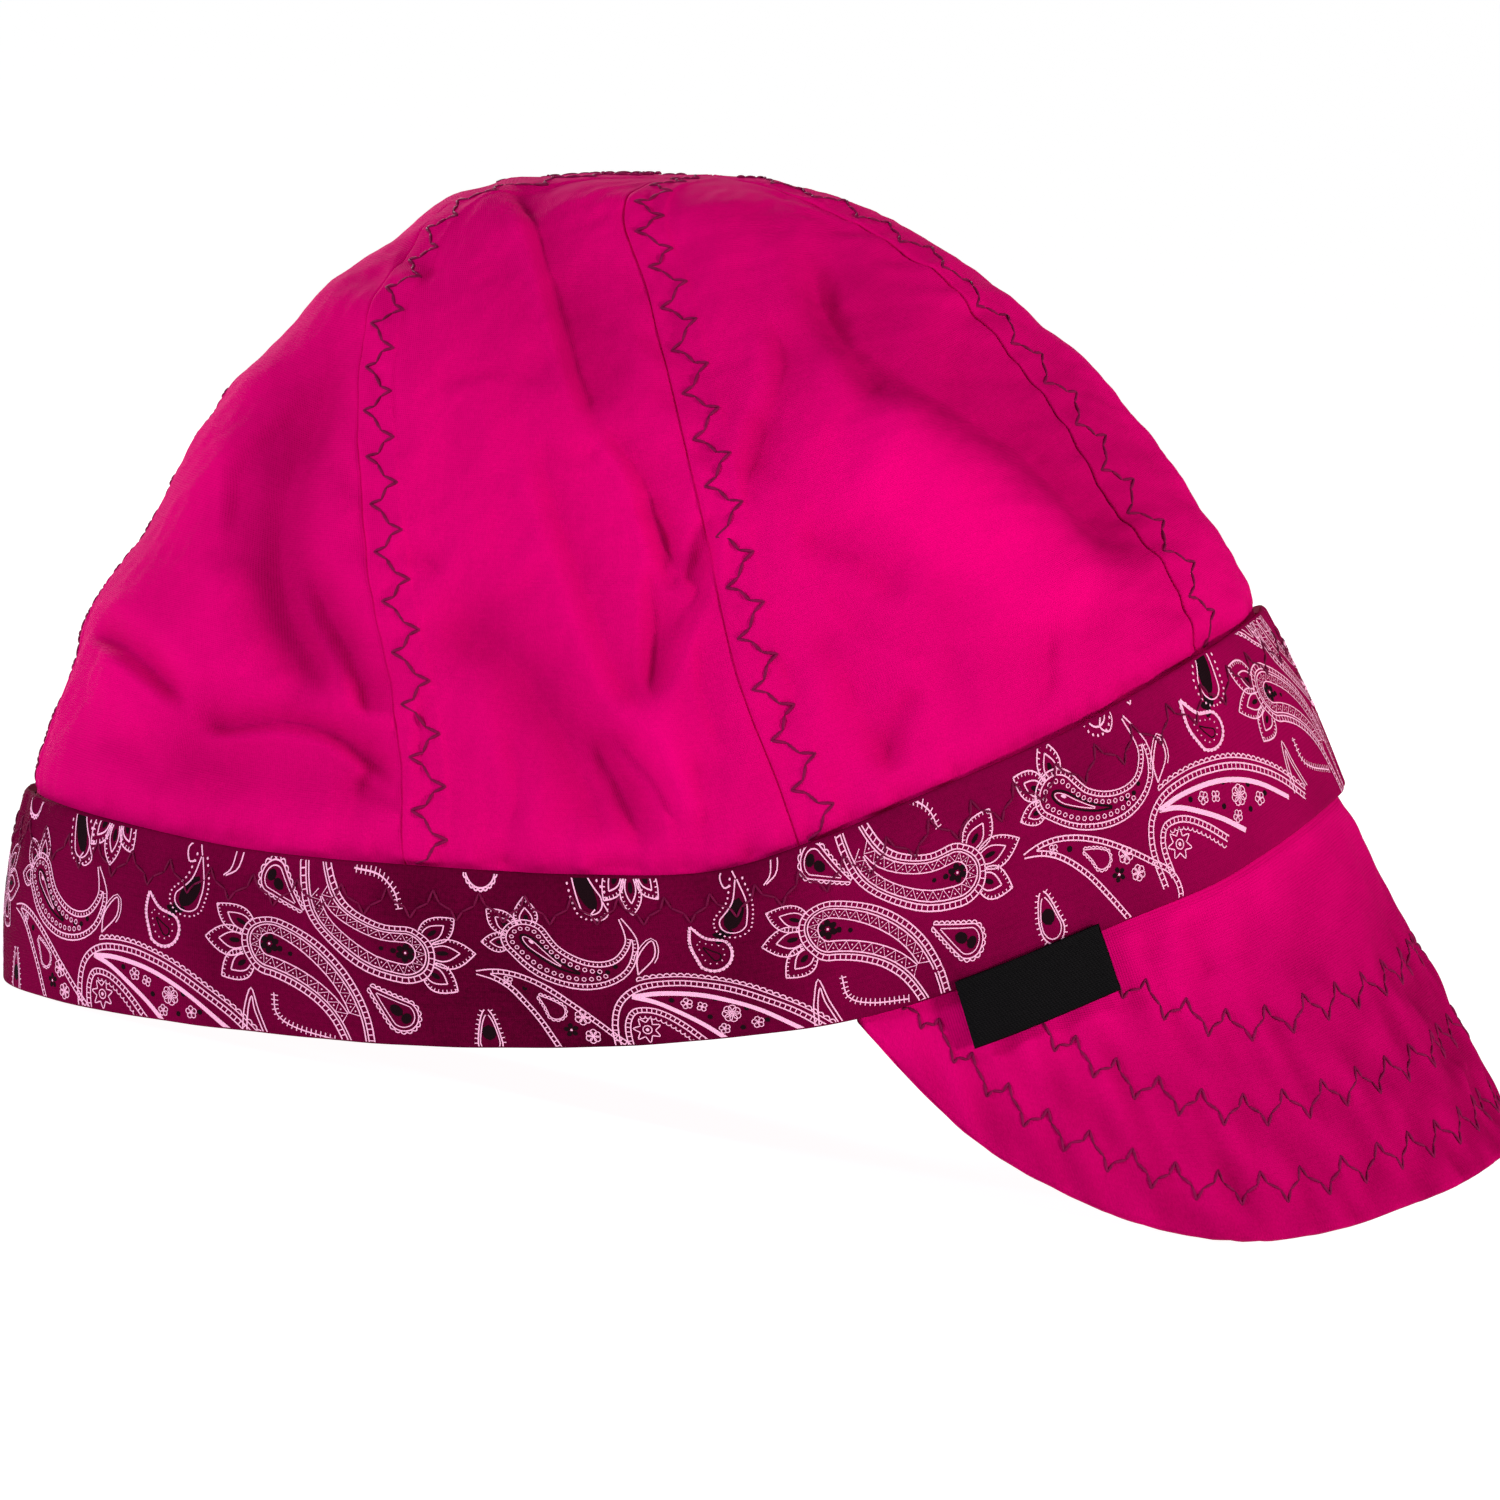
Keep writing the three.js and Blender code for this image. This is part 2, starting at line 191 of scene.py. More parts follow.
bm = bmesh.new()
bmesh.ops.create_grid(bm, x_segments=1, y_segments=1, size=90)
bmesh.ops.translate(bm, vec=(0, 0, -0.0003), verts=bm.verts)
floor = put("floor", mesh_from(bm, "floor"))
paper, make = new_material("white_paper")
make.surface({
    "Base Color": (0.25, 0.25, 0.25, 1),
    "Roughness": 1.0,
    "Specular IOR Level": 0.0,
    "Emission Color": (1, 1, 1, 1),
    "Emission Strength": 0.97,
})
floor.data.materials.append(paper)


# Crown: six wedge-shaped panels of pink cotton sewn edge to edge, each seam allowance pressed to
# one side under the cloth and held by a zigzag row. Lower edges are gathered under the hem band.
half_length, half_width, crown_height, band_width = 112.0, 67.0, 145.0, 30.5
# mm round the crown above the band, mm of cloth from there to its top, mm round the band
crown_round, crown_rise, band_round = 577, 150, 592
ring_names = ("level", "back_reach", "back_rise", "front_reach", "front_rise", "width", "sag")
ring_rows = (
    (-1, 0.997, 0.071, 0.994, 0.292, 1, 0.157),
    (-0.5, 0.99, 0.183, 0.938, 0.397, 1.02, 0.171),
    (0, 0.963, 0.293, 0.871, 0.5, 1.03, 0.184),
    (0.125, 0.915, 0.402, 0.815, 0.577, 1.03, 0.175),
    (0.25, 0.86, 0.505, 0.743, 0.661, 1, 0.162),
    (0.375, 0.789, 0.6, 0.658, 0.739, 0.95, 0.143),
    (0.5, 0.699, 0.709, 0.566, 0.81, 0.87, 0.117),
    (0.625, 0.595, 0.808, 0.461, 0.882, 0.76, 0.085),
    (0.75, 0.466, 0.901, 0.342, 0.938, 0.6, 0.048),
    (0.875, 0.29, 0.985, 0.201, 0.983, 0.36, 0.011),
    (1, -0.053, 0.997, 0.056, 0.997, 0.003, 0),
)
rings = {name: np.array(column, float) for name, column in zip(ring_names, zip(*ring_rows))}
sag_rows = (
    (-1, 0, 0),
    (-0.86, 0.215, 0.2),
    (-0.65, 0.472, 0.47),
    (-0.38, 0.755, 0.71),
    (-0.1, 0.945, 0.92),
    (0.08, 1, 1),
    (0.24, 1, 0.91),
    (0.42, 0.87, 0.735),
    (0.65, 0.6, 0.5),
    (0.8, 0.43, 0.3),
    (0.9, 0.23, 0.15),
    (1, 0, 0),
)
sag_spread = dict(zip(("ahead", "hem", "band_top"), np.array(sag_rows, float).T))
seam_names = ("level", "front_right", "right", "rear_right", "rear", "left", "front_left")
seam_rows = (
    (-0.3, 0.064, 0.207, 0.325, 0.5, 0.69, 0.888),
    (0, 0.064, 0.207, 0.326, 0.5, 0.69, 0.888),
    (0.25, 0.056, 0.218, 0.339, 0.505, 0.69, 0.888),
    (0.5, 0.051, 0.223, 0.373, 0.52, 0.692, 0.885),
    (0.75, 0.05, 0.238, 0.43, 0.56, 0.7, 0.885),
    (0.85, 0.06, 0.262, 0.46, 0.585, 0.715, 0.89),
    (1, 0.1, 0.29, 0.46, 0.61, 0.745, 0.915),
)
seams = dict(zip(seam_names, np.array(seam_rows, float).T))


def read(table, column, at):
    """A table's column on a smooth curve through its rows, which lie where its first column says."""
    x, y = next(iter(table.values())), table[column]
    i = np.clip(np.searchsorted(x, at) - 1, 0, len(x) - 2)

    def slope(k):
        a, b = np.maximum(k - 1, 0), np.minimum(k + 1, len(x) - 1)
        return (y[b] - y[a]) / (x[b] - x[a])

    h = x[i + 1] - x[i]
    t = (at - x[i]) / h
    low = (2 * t**3 - 3 * t**2 + 1) * y[i] + (t**3 - 2 * t**2 + t) * h * slope(i)
    return low + (3 * t**2 - 2 * t**3) * y[i + 1] + (t**3 - t**2) * h * slope(i + 1)


def ease(x):
    x = np.clip(x, 0, 1)
    return x * x * (3 - 2 * x)


def rounded(x):
    """A quarter circle's rise from 0 at 0 to 1 at 1."""
    return np.sqrt(1 - (1 - np.clip(x, 0, 1)) ** 2)


oval_turn = np.linspace(0, 2 * math.pi, 2001)
oval_ahead = np.sign(np.cos(oval_turn)) * np.abs(np.cos(oval_turn)) ** (2 / 2.35)
oval_side = np.sign(np.sin(oval_turn)) * np.abs(np.sin(oval_turn)) ** (2 / 2.35)
steps = np.hypot(np.diff(oval_ahead) * half_length, np.diff(oval_side) * half_width)
oval_round = np.concatenate(([0], np.cumsum(steps))) / steps.sum()


def smooth_cap(around, level):
    """The cap's smooth outer shape, in mm. Around runs once from the front over the wearer's right;
    level runs from -1 at the hem over 0 at the band's top edge to 1 at the crown's top."""
    around = np.asarray(around, float) % 1
    level = np.asarray(level, float) + 0 * around
    forward = np.interp(around, oval_round, oval_ahead)
    side = np.interp(around, oval_round, oval_side)
    back_x = -read(rings, "back_reach", level) * half_length
    back_z = read(rings, "back_rise", level) * crown_height
    front_x = read(rings, "front_reach", level) * half_length
    front_z = read(rings, "front_rise", level) * crown_height
    hem_share = np.clip(-level, 0, 1)
    spread = hem_share * read(sag_spread, "hem", forward)
    spread = spread + (1 - hem_share) * read(sag_spread, "band_top", forward)
    sag = read(rings, "sag", level) * crown_height * spread
    chord = np.hypot(front_x - back_x, front_z - back_z)
    x = back_x + (front_x - back_x) * (1 + forward) / 2 + (front_z - back_z) / chord * sag
    z = back_z + (front_z - back_z) * (1 + forward) / 2 - (front_x - back_x) / chord * sag
    offset = 8 * np.clip((level - 0.7) / 0.3, 0, 1) ** 1.5
    y = offset - read(rings, "width", level) * half_width * side
    return np.stack((x, y, z), -1)


def facing(surface, a, b, step_a, step_b):
    """Which way a surface faces, from two steps to either side."""
    up = surface(a, b + step_b) - surface(a, b - step_b)
    along = surface(a + step_a, b) - surface(a - step_a, b)
    normal = np.cross(up, along)
    return normal / np.linalg.norm(normal, axis=-1, keepdims=True)


def ripple(u, v, size, seed):
    """Soft random waves about 1 high, of roughly that size in mm."""
    rng = np.random.default_rng(seed)
    total = 0
    for _ in range(9):
        angle, pace = rng.uniform(0, 2 * math.pi), rng.uniform(0.6, 1.6)
        phase = rng.uniform(0, 2 * math.pi)
        along = u * math.cos(angle) + v * math.sin(angle)
        total = total + np.sin(2 * math.pi / size * pace * along + phase)
    return total / 3


# Folds on the wearer's right, seen from the side: points in mm ahead of the hem's middle and above
# its lowest point, then depth, reach to the rear, reach to the front, and the ridge beside it.
# A fold of negative depth is a ridge.
right_folds = (
    (((-54.2, 121.5), (-59.8, 110.3), (-64.2, 99.5), (-66.5, 90.3), (-66.8, 81.2), (-64.5, 70.8),
      (-59.5, 62.2), (-54.8, 55.2)), 3.6, 4.6, 6.5, 0.25),
    (((-62.5, 81.2), (-57.8, 70.8), (-53.8, 64.2), (-51.2, 57.8), (-50.5, 54.2)), 1.9, 1.6, 4, 0.4),
    (((-73.2, 81.2), (-75.5, 67.8), (-73.8, 59.5)), -0.9, 6, 5, 0),
    (((-97.2, 68.5), (-92.5, 66.2), (-87.5, 62.2), (-80.2, 55.8)), 2, 1.1, 3, 0.5),
    (((-96.2, 64.5), (-90.8, 57.8), (-87.5, 51.2)), -0.8, 4, 4, 0),
    (((-79.2, 54.2), (-74.8, 52.8), (-65.3, 53.5), (-57, 51.5), (-51.3, 47.5), (-44.5, 42.5)),
      2, 1.2, 3.4, 0.5),
    (((-52.8, 43.7), (-44.5, 38.8)), 1, 1.5, 3, 0.3),
    (((-96.5, 51.2), (-89.2, 47.8), (-82.5, 41.2)), 0.8, 3, 5, 0.3),
    (((-47, 130.8), (-39.2, 128.8)), 0.8, 2, 2.5, 0.3),
    (((-28.2, 143.8), (-24.2, 139.2), (-21.2, 129.8), (-18.2, 119.5), (-15.2, 109.2),
      (-11.8, 101.2)), 1.7, 1.5, 6, 0.5),
    (((-12.5, 103.7), (-5.8, 94.8), (-1.7, 83.7), (0.7, 77.7)), 1.5, 1.6, 3.5, 0.5),
    (((-7, 90.3), (-3.5, 86.7), (-1.3, 78.3), (1.3, 76.2)), 1, 1.6, 2.2, 0.6),
    (((6.8, 87.8), (4.2, 81.2), (1.5, 75.8)), 1.2, 1.8, 1.6, 0.6),
    (((5.5, 83.7), (4.2, 75.7), (-1.3, 64.5), (-4.2, 54.8)), 1.2, 4.5, 1.5, 0.5),
    (((-3.8, 79.5), (-3.3, 70), (-3.5, 57.5)), 1.2, 1.4, 3, 0.5),
    (((-22.5, 101.2), (-20.5, 92.3), (-16.7, 81.2), (-12.5, 69.8), (-8.5, 59.8), (-1.2, 52.8)),
      1.5, 2, 6, 0.5),
    (((-45.8, 82.5), (-37.5, 78.3)), 0.8, 2, 2, 0.3),
    (((-41.7, 70), (-33.3, 67.3), (-26.3, 63.2), (-18.8, 52), (-13.8, 41.2), (-10.8, 30.5)),
      2.9, 5.5, 8, 0.4),
    (((-27.8, 53.3), (-25.7, 42.3), (-27.2, 31.2)), 0.7, 1.4, 2.5, 0.4),
    (((-14.2, 52), (-8.3, 41.2), (-4.2, 29.8)), 1.6, 2, 4, 0.4),
    (((-5.8, 59.5), (-1.2, 47.8), (5.2, 35.3)), -1.3, 5, 4, 0),
    (((2.5, 47.8), (5, 39.5), (4.2, 30.2)), 1, 2, 3, 0.4),
    (((-34.2, 116.2), (-19.2, 112.5), (-5.8, 114.5)), 0.6, 6, 6, 0),
    (((21.8, 135.2), (26.2, 124.5), (29.2, 119.5), (32.8, 112.5), (37.5, 104.5)), 1.5, 3, 7, 0.3),
    (((29.2, 104.5), (42.5, 94.5), (57.5, 82), (67.5, 67.8)), -3, 13, 9, 0),
    (((41.7, 119.5), (55.8, 107.8), (67.5, 93.7), (75.5, 78.7)), 1.2, 6, 10, 0),
    (((16.5, 121.2), (18, 111.7), (14.8, 100.7), (11.7, 92.3)), 1.6, 2.2, 5, 0.4),
    (((20, 84.5), (29.2, 81.2), (38.3, 74.2)), 1, 2.4, 4, 0.4),
    (((22.2, 70), (27.8, 61.7), (33.3, 50.7), (37.5, 43.7)), 1.2, 3, 5, 0.4),
    (((40.3, 59), (36.2, 52), (35.5, 45)), 1.3, 3, 1.8, 0.4),
    (((61.2, 70), (61.8, 59), (57, 52)), 0.9, 2.4, 2.4, 0.4),
    (((44.2, 67.8), (47.5, 57.8), (48.3, 50.3)), 0.6, 2.5, 2.5, 0.3),
    (((13.5, 67.8), (19.2, 59.5), (17.2, 51.2)), 0.8, 2.5, 2.5, 0.4),
    (((75.8, 67.8), (77.5, 62.8), (75.5, 57.8)), 0.7, 1.6, 1.6, 0.3),
    (((-62.2, 108.5), (-68.8, 100.5), (-72.5, 94.8), (-73.5, 83.7)), 1.2, 1, 4.5, 0.5),
    (((-40.8, 108.7), (-30.8, 110.8), (-19.2, 109.5)), 0.4, 1.2, 2.4, 0.4),
    (((-40.8, 59.5), (-41.8, 51.2), (-41.2, 42.8)), 0.5, 0.9, 2, 0.4),
    (((-22.5, 98.7), (-17.2, 96.2), (-11.8, 97.5)), 0.45, 1, 1.6, 0.4),
    (((-10.5, 52), (-2.5, 42.8), (1.5, 33.2)), 0.8, 1, 2.4, 0.5),
    (((-19.2, 81.2), (-25.8, 74.5), (-33.2, 71.5)), 0.4, 1.2, 2, 0.4),
    (((14.2, 106.2), (12.2, 96.2), (12.8, 87.8)), 0.7, 1.2, 2.6, 0.4),
    (((24.2, 76.2), (32.2, 67.8), (42.5, 64.5)), 0.5, 1.4, 3, 0.4),
    (((4.2, 67.8), (4.8, 57.8), (8.2, 47.8)), 0.5, 0.9, 2.2, 0.5),
    (((20.8, 135.2), (29.2, 120.3), (42.5, 110.3), (58.3, 102), (70.8, 91.2), (79.2, 77.8)),
      4.2, 8, 10, 0.1),
    (((-87.5, 50.3), (-72.5, 45.3), (-57.5, 42.8), (-45.8, 39.2)), 1.7, 8, 8, 0.2),
    (((-22.5, 124.5), (-9.2, 119.5), (2.5, 112.8), (7.5, 102.8)), 1.4, 9, 9, 0.2),
    (((2.5, 96.2), (7.5, 101.2), (12.8, 107.8)), 0.8, 5, 5, 0.2),
)
# Folds elsewhere, in mm of cloth: round from the front and up from the band's top edge.
other_folds = (
    (((466, 108), (455, 84), (452, 60)), 2.8, 5, 12, 0.4),
    (((434, 80), (424, 52), (414, 26)), 2.2, 2.4, 5, 0.6),
    (((487, 42), (481, 24), (476, 10)), 1.9, 2.2, 4, 0.6),
    (((366, 92), (350, 66), (334, 44)), 2.8, 3, 7, 0.5),
    (((398, 60), (384, 40), (380, 14)), 1.6, 2, 4, 0.6),
    (((312, 80), (304, 56), (310, 30)), 1.8, 3, 5, 0.5),
    (((330, 30), (350, 24), (372, 30)), 1.3, 2, 2, 0.6),
    (((566, 84), (556, 62), (548, 44)), 2.0, 4, 6, 0.4),
    (((538, 60), (530, 40), (520, 24)), 1.2, 2, 3, 0.6),
    (((595, 40), (588, 26), (580, 10)), 0.9, 2, 3, 0.5),
    (((440, 116), (420, 108), (404, 100)), 1.2, 3, 3, 0.4),
    (((505, 96), (498, 76), (500, 58)), 1.4, 3, 4, 0.5),
)


def eased_line(points):
    """A smooth line through a few points."""
    p = np.array(points, float)
    ends = np.concatenate(([2 * p[0] - p[1]], p, [2 * p[-1] - p[-2]]))
    t = np.linspace(0, 1, 5)[:-1, None]
    parts = []
    for a, b, c, d in zip(ends, ends[1:], ends[2:], ends[3:]):
        parts.append(b + 0.5 * t * (c - a + t * (2 * a - 5 * b + 4 * c - d + t * (3 * (b - c) + d - a))))
    return np.concatenate(parts + [p[-1:]])


def fold_height(u, v, folds):
    """How far folds lift the cloth, in mm, at points given in the folds' own plane."""
    total = np.zeros_like(u)
    for points, depth, rear, front, ridge in folds:
        line = eased_line(points)
        near = np.full(u.shape, 1e9)
        side = np.zeros_like(u)
        run = np.zeros_like(u)
        for k in range(len(line) - 1):
            ax, ay = line[k]
            dx, dy = line[k + 1] - line[k]
            span = math.hypot(dx, dy) + 1e-9
            t = np.clip(((u - ax) * dx + (v - ay) * dy) / span**2, 0, 1)
            gx, gy = u - ax - t * dx, v - ay - t * dy
            gap = np.hypot(gx, gy)
            closer = gap < near
            near = np.where(closer, gap, near)
            side = np.where(closer, np.sign(gy * dx / span - gx * dy / span), side)
            run = np.where(closer, (k + t) / (len(line) - 1), run)
        reach = np.where(side > 0, front, rear)
        taper = ease(run / 0.22 + 0.12) * ease((1 - run) / 0.22 + 0.12)
        # valleys are creased, ridges round
        valley = np.exp(-((near / reach) ** (1.35 if depth > 0 else 2)))
        brow = np.exp(-(((near - 1.9 * reach) / (0.8 * reach)) ** 2))
        total += taper * (ridge * abs(depth) * 0.4 * brow - depth * valley)
    return total


def seam_side(around, level):
    """For each point: mm to the next seam on its raised side and on the other, mm round the crown."""
    across = read(rings, "width", level) ** 2 * half_width**2
    reach = 0.5 * (read(rings, "back_reach", level) + read(rings, "front_reach", level))
    ring = 2 * math.pi * np.sqrt((across + (reach * half_length) ** 2) / 2)
    before = np.full(np.shape(around), 1e9)
    after = np.full(np.shape(around), 1e9)
    for name in seam_names[1:]:
        gap = (read(seams, name, level) - around + 0.5) % 1 - 0.5
        before = np.where((gap >= 0) & (gap * ring < before), gap * ring, before)
        after = np.where((gap < 0) & (-gap * ring < after), -gap * ring, after)
    return before, after, ring


zigzag_step, fold_share = 8.8, 1.25


def side_view(at):
    """Where points show from the right: mm ahead of the hem's middle and above its lowest point."""
    return at[..., 0] + 0.010 * at[..., 1], at[..., 2] + 0.0514 * at[..., 1]


def loose(level):
    """How freely the crown's cloth moves: not at its top or at the band."""
    return ease((level - 0.01) / 0.09) * (1 - ease((level - 0.86) / 0.12))


def crown_folds(around, level, at):
    """The height of the crown's folds, in mm; they end at its top and under the band."""
    right = ease((-at[..., 1] - 2) / 10) * fold_height(*side_view(at), right_folds)
    other = fold_height(around % 1 * crown_round, level * crown_rise, other_folds)
    return fold_share * (right + ease((at[..., 1] + 14) / 12) * other) * loose(level)


def crown_lift(around, level, at):
    """How far the crown's cloth stands off its smooth shape, in mm."""
    u, v = side_view(at)
    cloth_round = around % 1 * crown_round
    before, after, _ = seam_side(around, level)
    top = 1 - ease((level - 0.88) / 0.1)
    near_seam = np.exp(-((np.minimum(before, after) / 9) ** 2))
    pull = -0.5 * near_seam * top
    wave = np.sin(2 * math.pi * level * crown_rise / zigzag_step + 5 * np.sin(around * 40))
    pucker = 0.2 * wave * np.exp(-((np.minimum(before, after) / 7) ** 2)) * top
    low = np.exp(-((level * crown_rise / 9) ** 2)) * ease(level / 0.02)
    gather = low * (0.6 * ripple(cloth_round, 0 * u, 13, 5) + 0.3 * ripple(cloth_round, 0 * u, 6, 6))
    slack = 0.55 * ripple(u, v, 42, 7) + 0.26 * ripple(u * 1.5, (v + 0.5 * at[..., 1]) * 0.7, 15, 8)
    slack = slack + 0.075 * ripple(u * 1.4, (v + 0.5 * at[..., 1]) * 0.8, 5.5, 9)
    slack = slack * (0.25 + 0.75 * loose(level)) * ease(level / 0.03)
    return crown_folds(around, level, at) + (pull + pucker) * loose(level) + gather + slack


under_band, allowance = 1.35, 0.3


def crown_cloth(around, level, raised):
    """A point of the crown's outer face and its normal, in mm; raised is the seam allowance's share
    under it. Below the band's top edge the cloth lies behind the band."""
    at = smooth_cap(around, level)
    normal = facing(smooth_cap, around, np.minimum(level, 0.97), 0.002, 0.01)
    behind = 1 - ease((level - 0.004) / 0.06)
    lift = crown_lift(around, level, at) - under_band * behind + allowance * raised * (1 - behind)
    return at + normal * lift[..., None], normal


def vertex_points(mesh):
    flat = np.empty(len(mesh.vertices) * 3)
    mesh.vertices.foreach_get("co", flat)
    return flat.reshape(-1, 3)


def lay_out(mesh, points, uv=None):
    """Put a mesh's vertices where the points stand, in mm, with a UV map in mm of cloth."""
    mesh.vertices.foreach_set("co", seated(points).ravel())
    if uv is not None:
        corner = np.empty(len(mesh.loops), np.int32)
        mesh.loops.foreach_get("vertex_index", corner)
        mesh.uv_layers.new(name="cloth").data.foreach_set("uv", uv[corner].ravel())


def cloth_grid(name, across, up, place, uv, closed=False, painted_shading=None):
    """A grid of cloth put where the shape says, its UV in mm of cloth, with an attribute of painted light
    and shade for its colour.
    """
    bm = bmesh.new()
    bmesh.ops.create_grid(bm, x_segments=across, y_segments=up, size=0.5)
    mesh = mesh_from(bm, name)
    flat = vertex_points(mesh) + 0.5
    a, b = np.clip(flat[:, 0], 0, 1), np.clip(flat[:, 1], 0, 1)
    lay_out(mesh, place(a, b), np.stack(uv(a, b), -1))
    if painted_shading:
        mesh.attributes.new("painted_shading", "FLOAT", "POINT").data.foreach_set("value", painted_shading(a, b))
    bm = bmesh.new()
    bm.from_mesh(mesh)
    if closed:
        bmesh.ops.remove_doubles(bm, verts=bm.verts, dist=1e-6)
    bmesh.ops.reverse_faces(bm, faces=bm.faces)
    bm.to_mesh(mesh)
    bm.free()
    return mesh


def add_piece(name, mesh, material, replaced=()):
    """A finished piece of the scene, in the place of the nodes it replaces."""
    piece = put(name, mesh)
    piece.data.materials.append(material)
    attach(piece, "root")
    if replaced:
        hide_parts(*replaced)
    return piece


def give_wall(piece, thickness):
    wall = piece.modifiers.new("wall", "SOLIDIFY")
    wall.thickness = thickness
    wall.offset = -1
    wall.use_even_offset = False
    wall.use_rim = True


def cotton(name, bright, deep, weave_mm=0.42, specular=0.012):
    """Plain-woven cotton with slubs and mottling, threads in mm of its UV map; a mesh attribute adds
    painted light and shade to its colour.
    """
    material, make = new_material(name)
    cloth = make.node("ShaderNodeUVMap", {"uv_map": "cloth"})
    split_u = make.node("ShaderNodeSeparateXYZ", inputs={0: cloth})
    split_v = Value(make.tree, split_u.socket.node.outputs[1])
    warp, weft = split_u.wave(weave_mm), split_v.wave(weave_mm * 0.9)
    stretched = make.node("ShaderNodeMapping", inputs={"Vector": cloth, "Scale": (0.16, 2.4, 1.0)})
    slub = make.noise(stretched, 1.0, 3.0)
    place = make.node("ShaderNodeTexCoord", out=3)
    mottle = make.noise(place, 38.0, 4.0)
    fuzz = make.noise(place, 1900.0)
    # painted light and shade, read from the mesh, lighten or darken the colour
    painted_shading = make.node("ShaderNodeAttribute", {"attribute_name": "painted_shading"}, out=2)
    mix = (mottle - 0.5) * 0.5 + (slub - 0.5) * 0.16 + (fuzz - 0.5) * 0.3 + 0.6 + (warp + weft) * 0.012
    colour = make.ramp(((0.0, deep), (1.0, bright)), mix + painted_shading)
    rough = (fuzz - 0.5) * 0.2 + 0.88
    height = warp * 0.3 + weft * 0.3 + slub * 0.9 + fuzz * 0.7
    bump = make.node("ShaderNodeBump", inputs={"Strength": 0.55, "Distance": 0.00012, "Height": height})
    make.surface({"Base Color": colour, "Roughness": rough, "Specular IOR Level": specular, "Normal": bump})
    return material


crown_cotton = cotton("crown_cotton", (0.74, 0.0002, 0.160), (0.36, 0.0001, 0.074))
crown_wall = 0.0011
panels = (
    ("front", "front_left", "front_right", 1),
    ("right", "front_right", "right", 0),
    ("rear_right", "right", "rear_right", 0),
    ("back_right", "rear_right", "rear", 0),
    ("rear_left", "rear", "left", 0),
    ("left", "left", "front_left", 0),
)
for panel, first, second, turned in panels:

    def on_panel(a, b):
        """A grid point's place on the crown, its raise and dip, and its mm from the first seam."""
        level = -0.2 + 1.197 * b
        start = read(seams, first, level) - turned
        end = read(seams, second, level)
        width = (end - start) * seam_side((start + end) / 2, level)[2]
        strip = np.minimum(8.0 / width, 0.42)
        # the last 22 % of the columns lie over the seam allowance
        share = np.where(a < 0.78, a / 0.78 * (1 - strip), 1 - strip + (a - 0.78) / 0.22 * strip)
        # both edges run a little past the seam line, and the first dips under its neighbour
        edge = -0.16 / width
        share = edge + share * (1 - 2 * edge)
        from_seam = (1 - share) * width
        raised = rounded(from_seam / 0.9) * (1 - ease((from_seam - 7.0) / 1.2))
        raised = raised * (1 - ease((level - 0.93) / 0.06))
        under = -0.42 * (1 - ease(share * width / 0.7))
        return start + (end - start) * share, level, raised, under, share * width

    def panel_place(a, b):
        around, level, raised, under, _ = on_panel(a, b)
        at, normal = crown_cloth(around, level, raised)
        return at + normal * under[:, None]

    def panel_uv(a, b):
        _, level, _, _, across = on_panel(a, b)
        return across, level * crown_rise

    def panel_painted_shading(a, b):
        around, level, _, _, _ = on_panel(a, b)
        # painted shade in the folds' valleys and painted light on their ridges
        return np.clip(crown_folds(around, level, smooth_cap(around, level)) / 9, -0.35, 0.25)

    name = "crown_cloth_" + panel
    across, up = (150, 190) if "right" in panel else (118, 150)
    mesh = cloth_grid(name, across, up, panel_place, panel_uv, painted_shading=panel_painted_shading)
    piece = add_piece(name, mesh, crown_cotton, ["crown_panel_" + panel])
    give_wall(piece, crown_wall)


# Seam stitches: three-step zigzag rows of plum thread, each leg three short stitches, sewn through
# the cloth and the seam allowance on the side it is pressed to.
leg_steps = ((0.0, 0.0), (0.22, 0.41), (0.74, 0.63))


def thread(name, bright, deep):
    """Matt sewing thread, its colour uneven along the twist."""
    material, make = new_material(name)
    place = make.node("ShaderNodeTexCoord", out=3)
    twist = make.noise(place, 900.0)
    colour = make.ramp(((0.2, deep), (0.8, bright)), twist)
    make.surface({"Base Color": colour, "Roughness": twist * 0.2 + 0.6, "Specular IOR Level": 0.1})
    return material


plum_thread = thread("plum_thread", (0.24, 0.001, 0.062), (0.11, 0.0005, 0.028))


def run_along(line):
    """How far along a line each of its points lies."""
    return np.concatenate(([0], np.cumsum(np.linalg.norm(np.diff(line, axis=0), axis=1))))


def zigzag_points(length, step, width):
    """Needle holes of a three-step zigzag, as (along, across) in mm."""
    holes = []
    along, way = 0.0, 1
    while along < length - step / 2:
        for run, over in leg_steps:
            holes.append((along + run * step / 2, way * (over - 0.5) * width))
        along += step / 2
        way = -way
    return np.array(holes + [(along, way * -0.5 * width)])


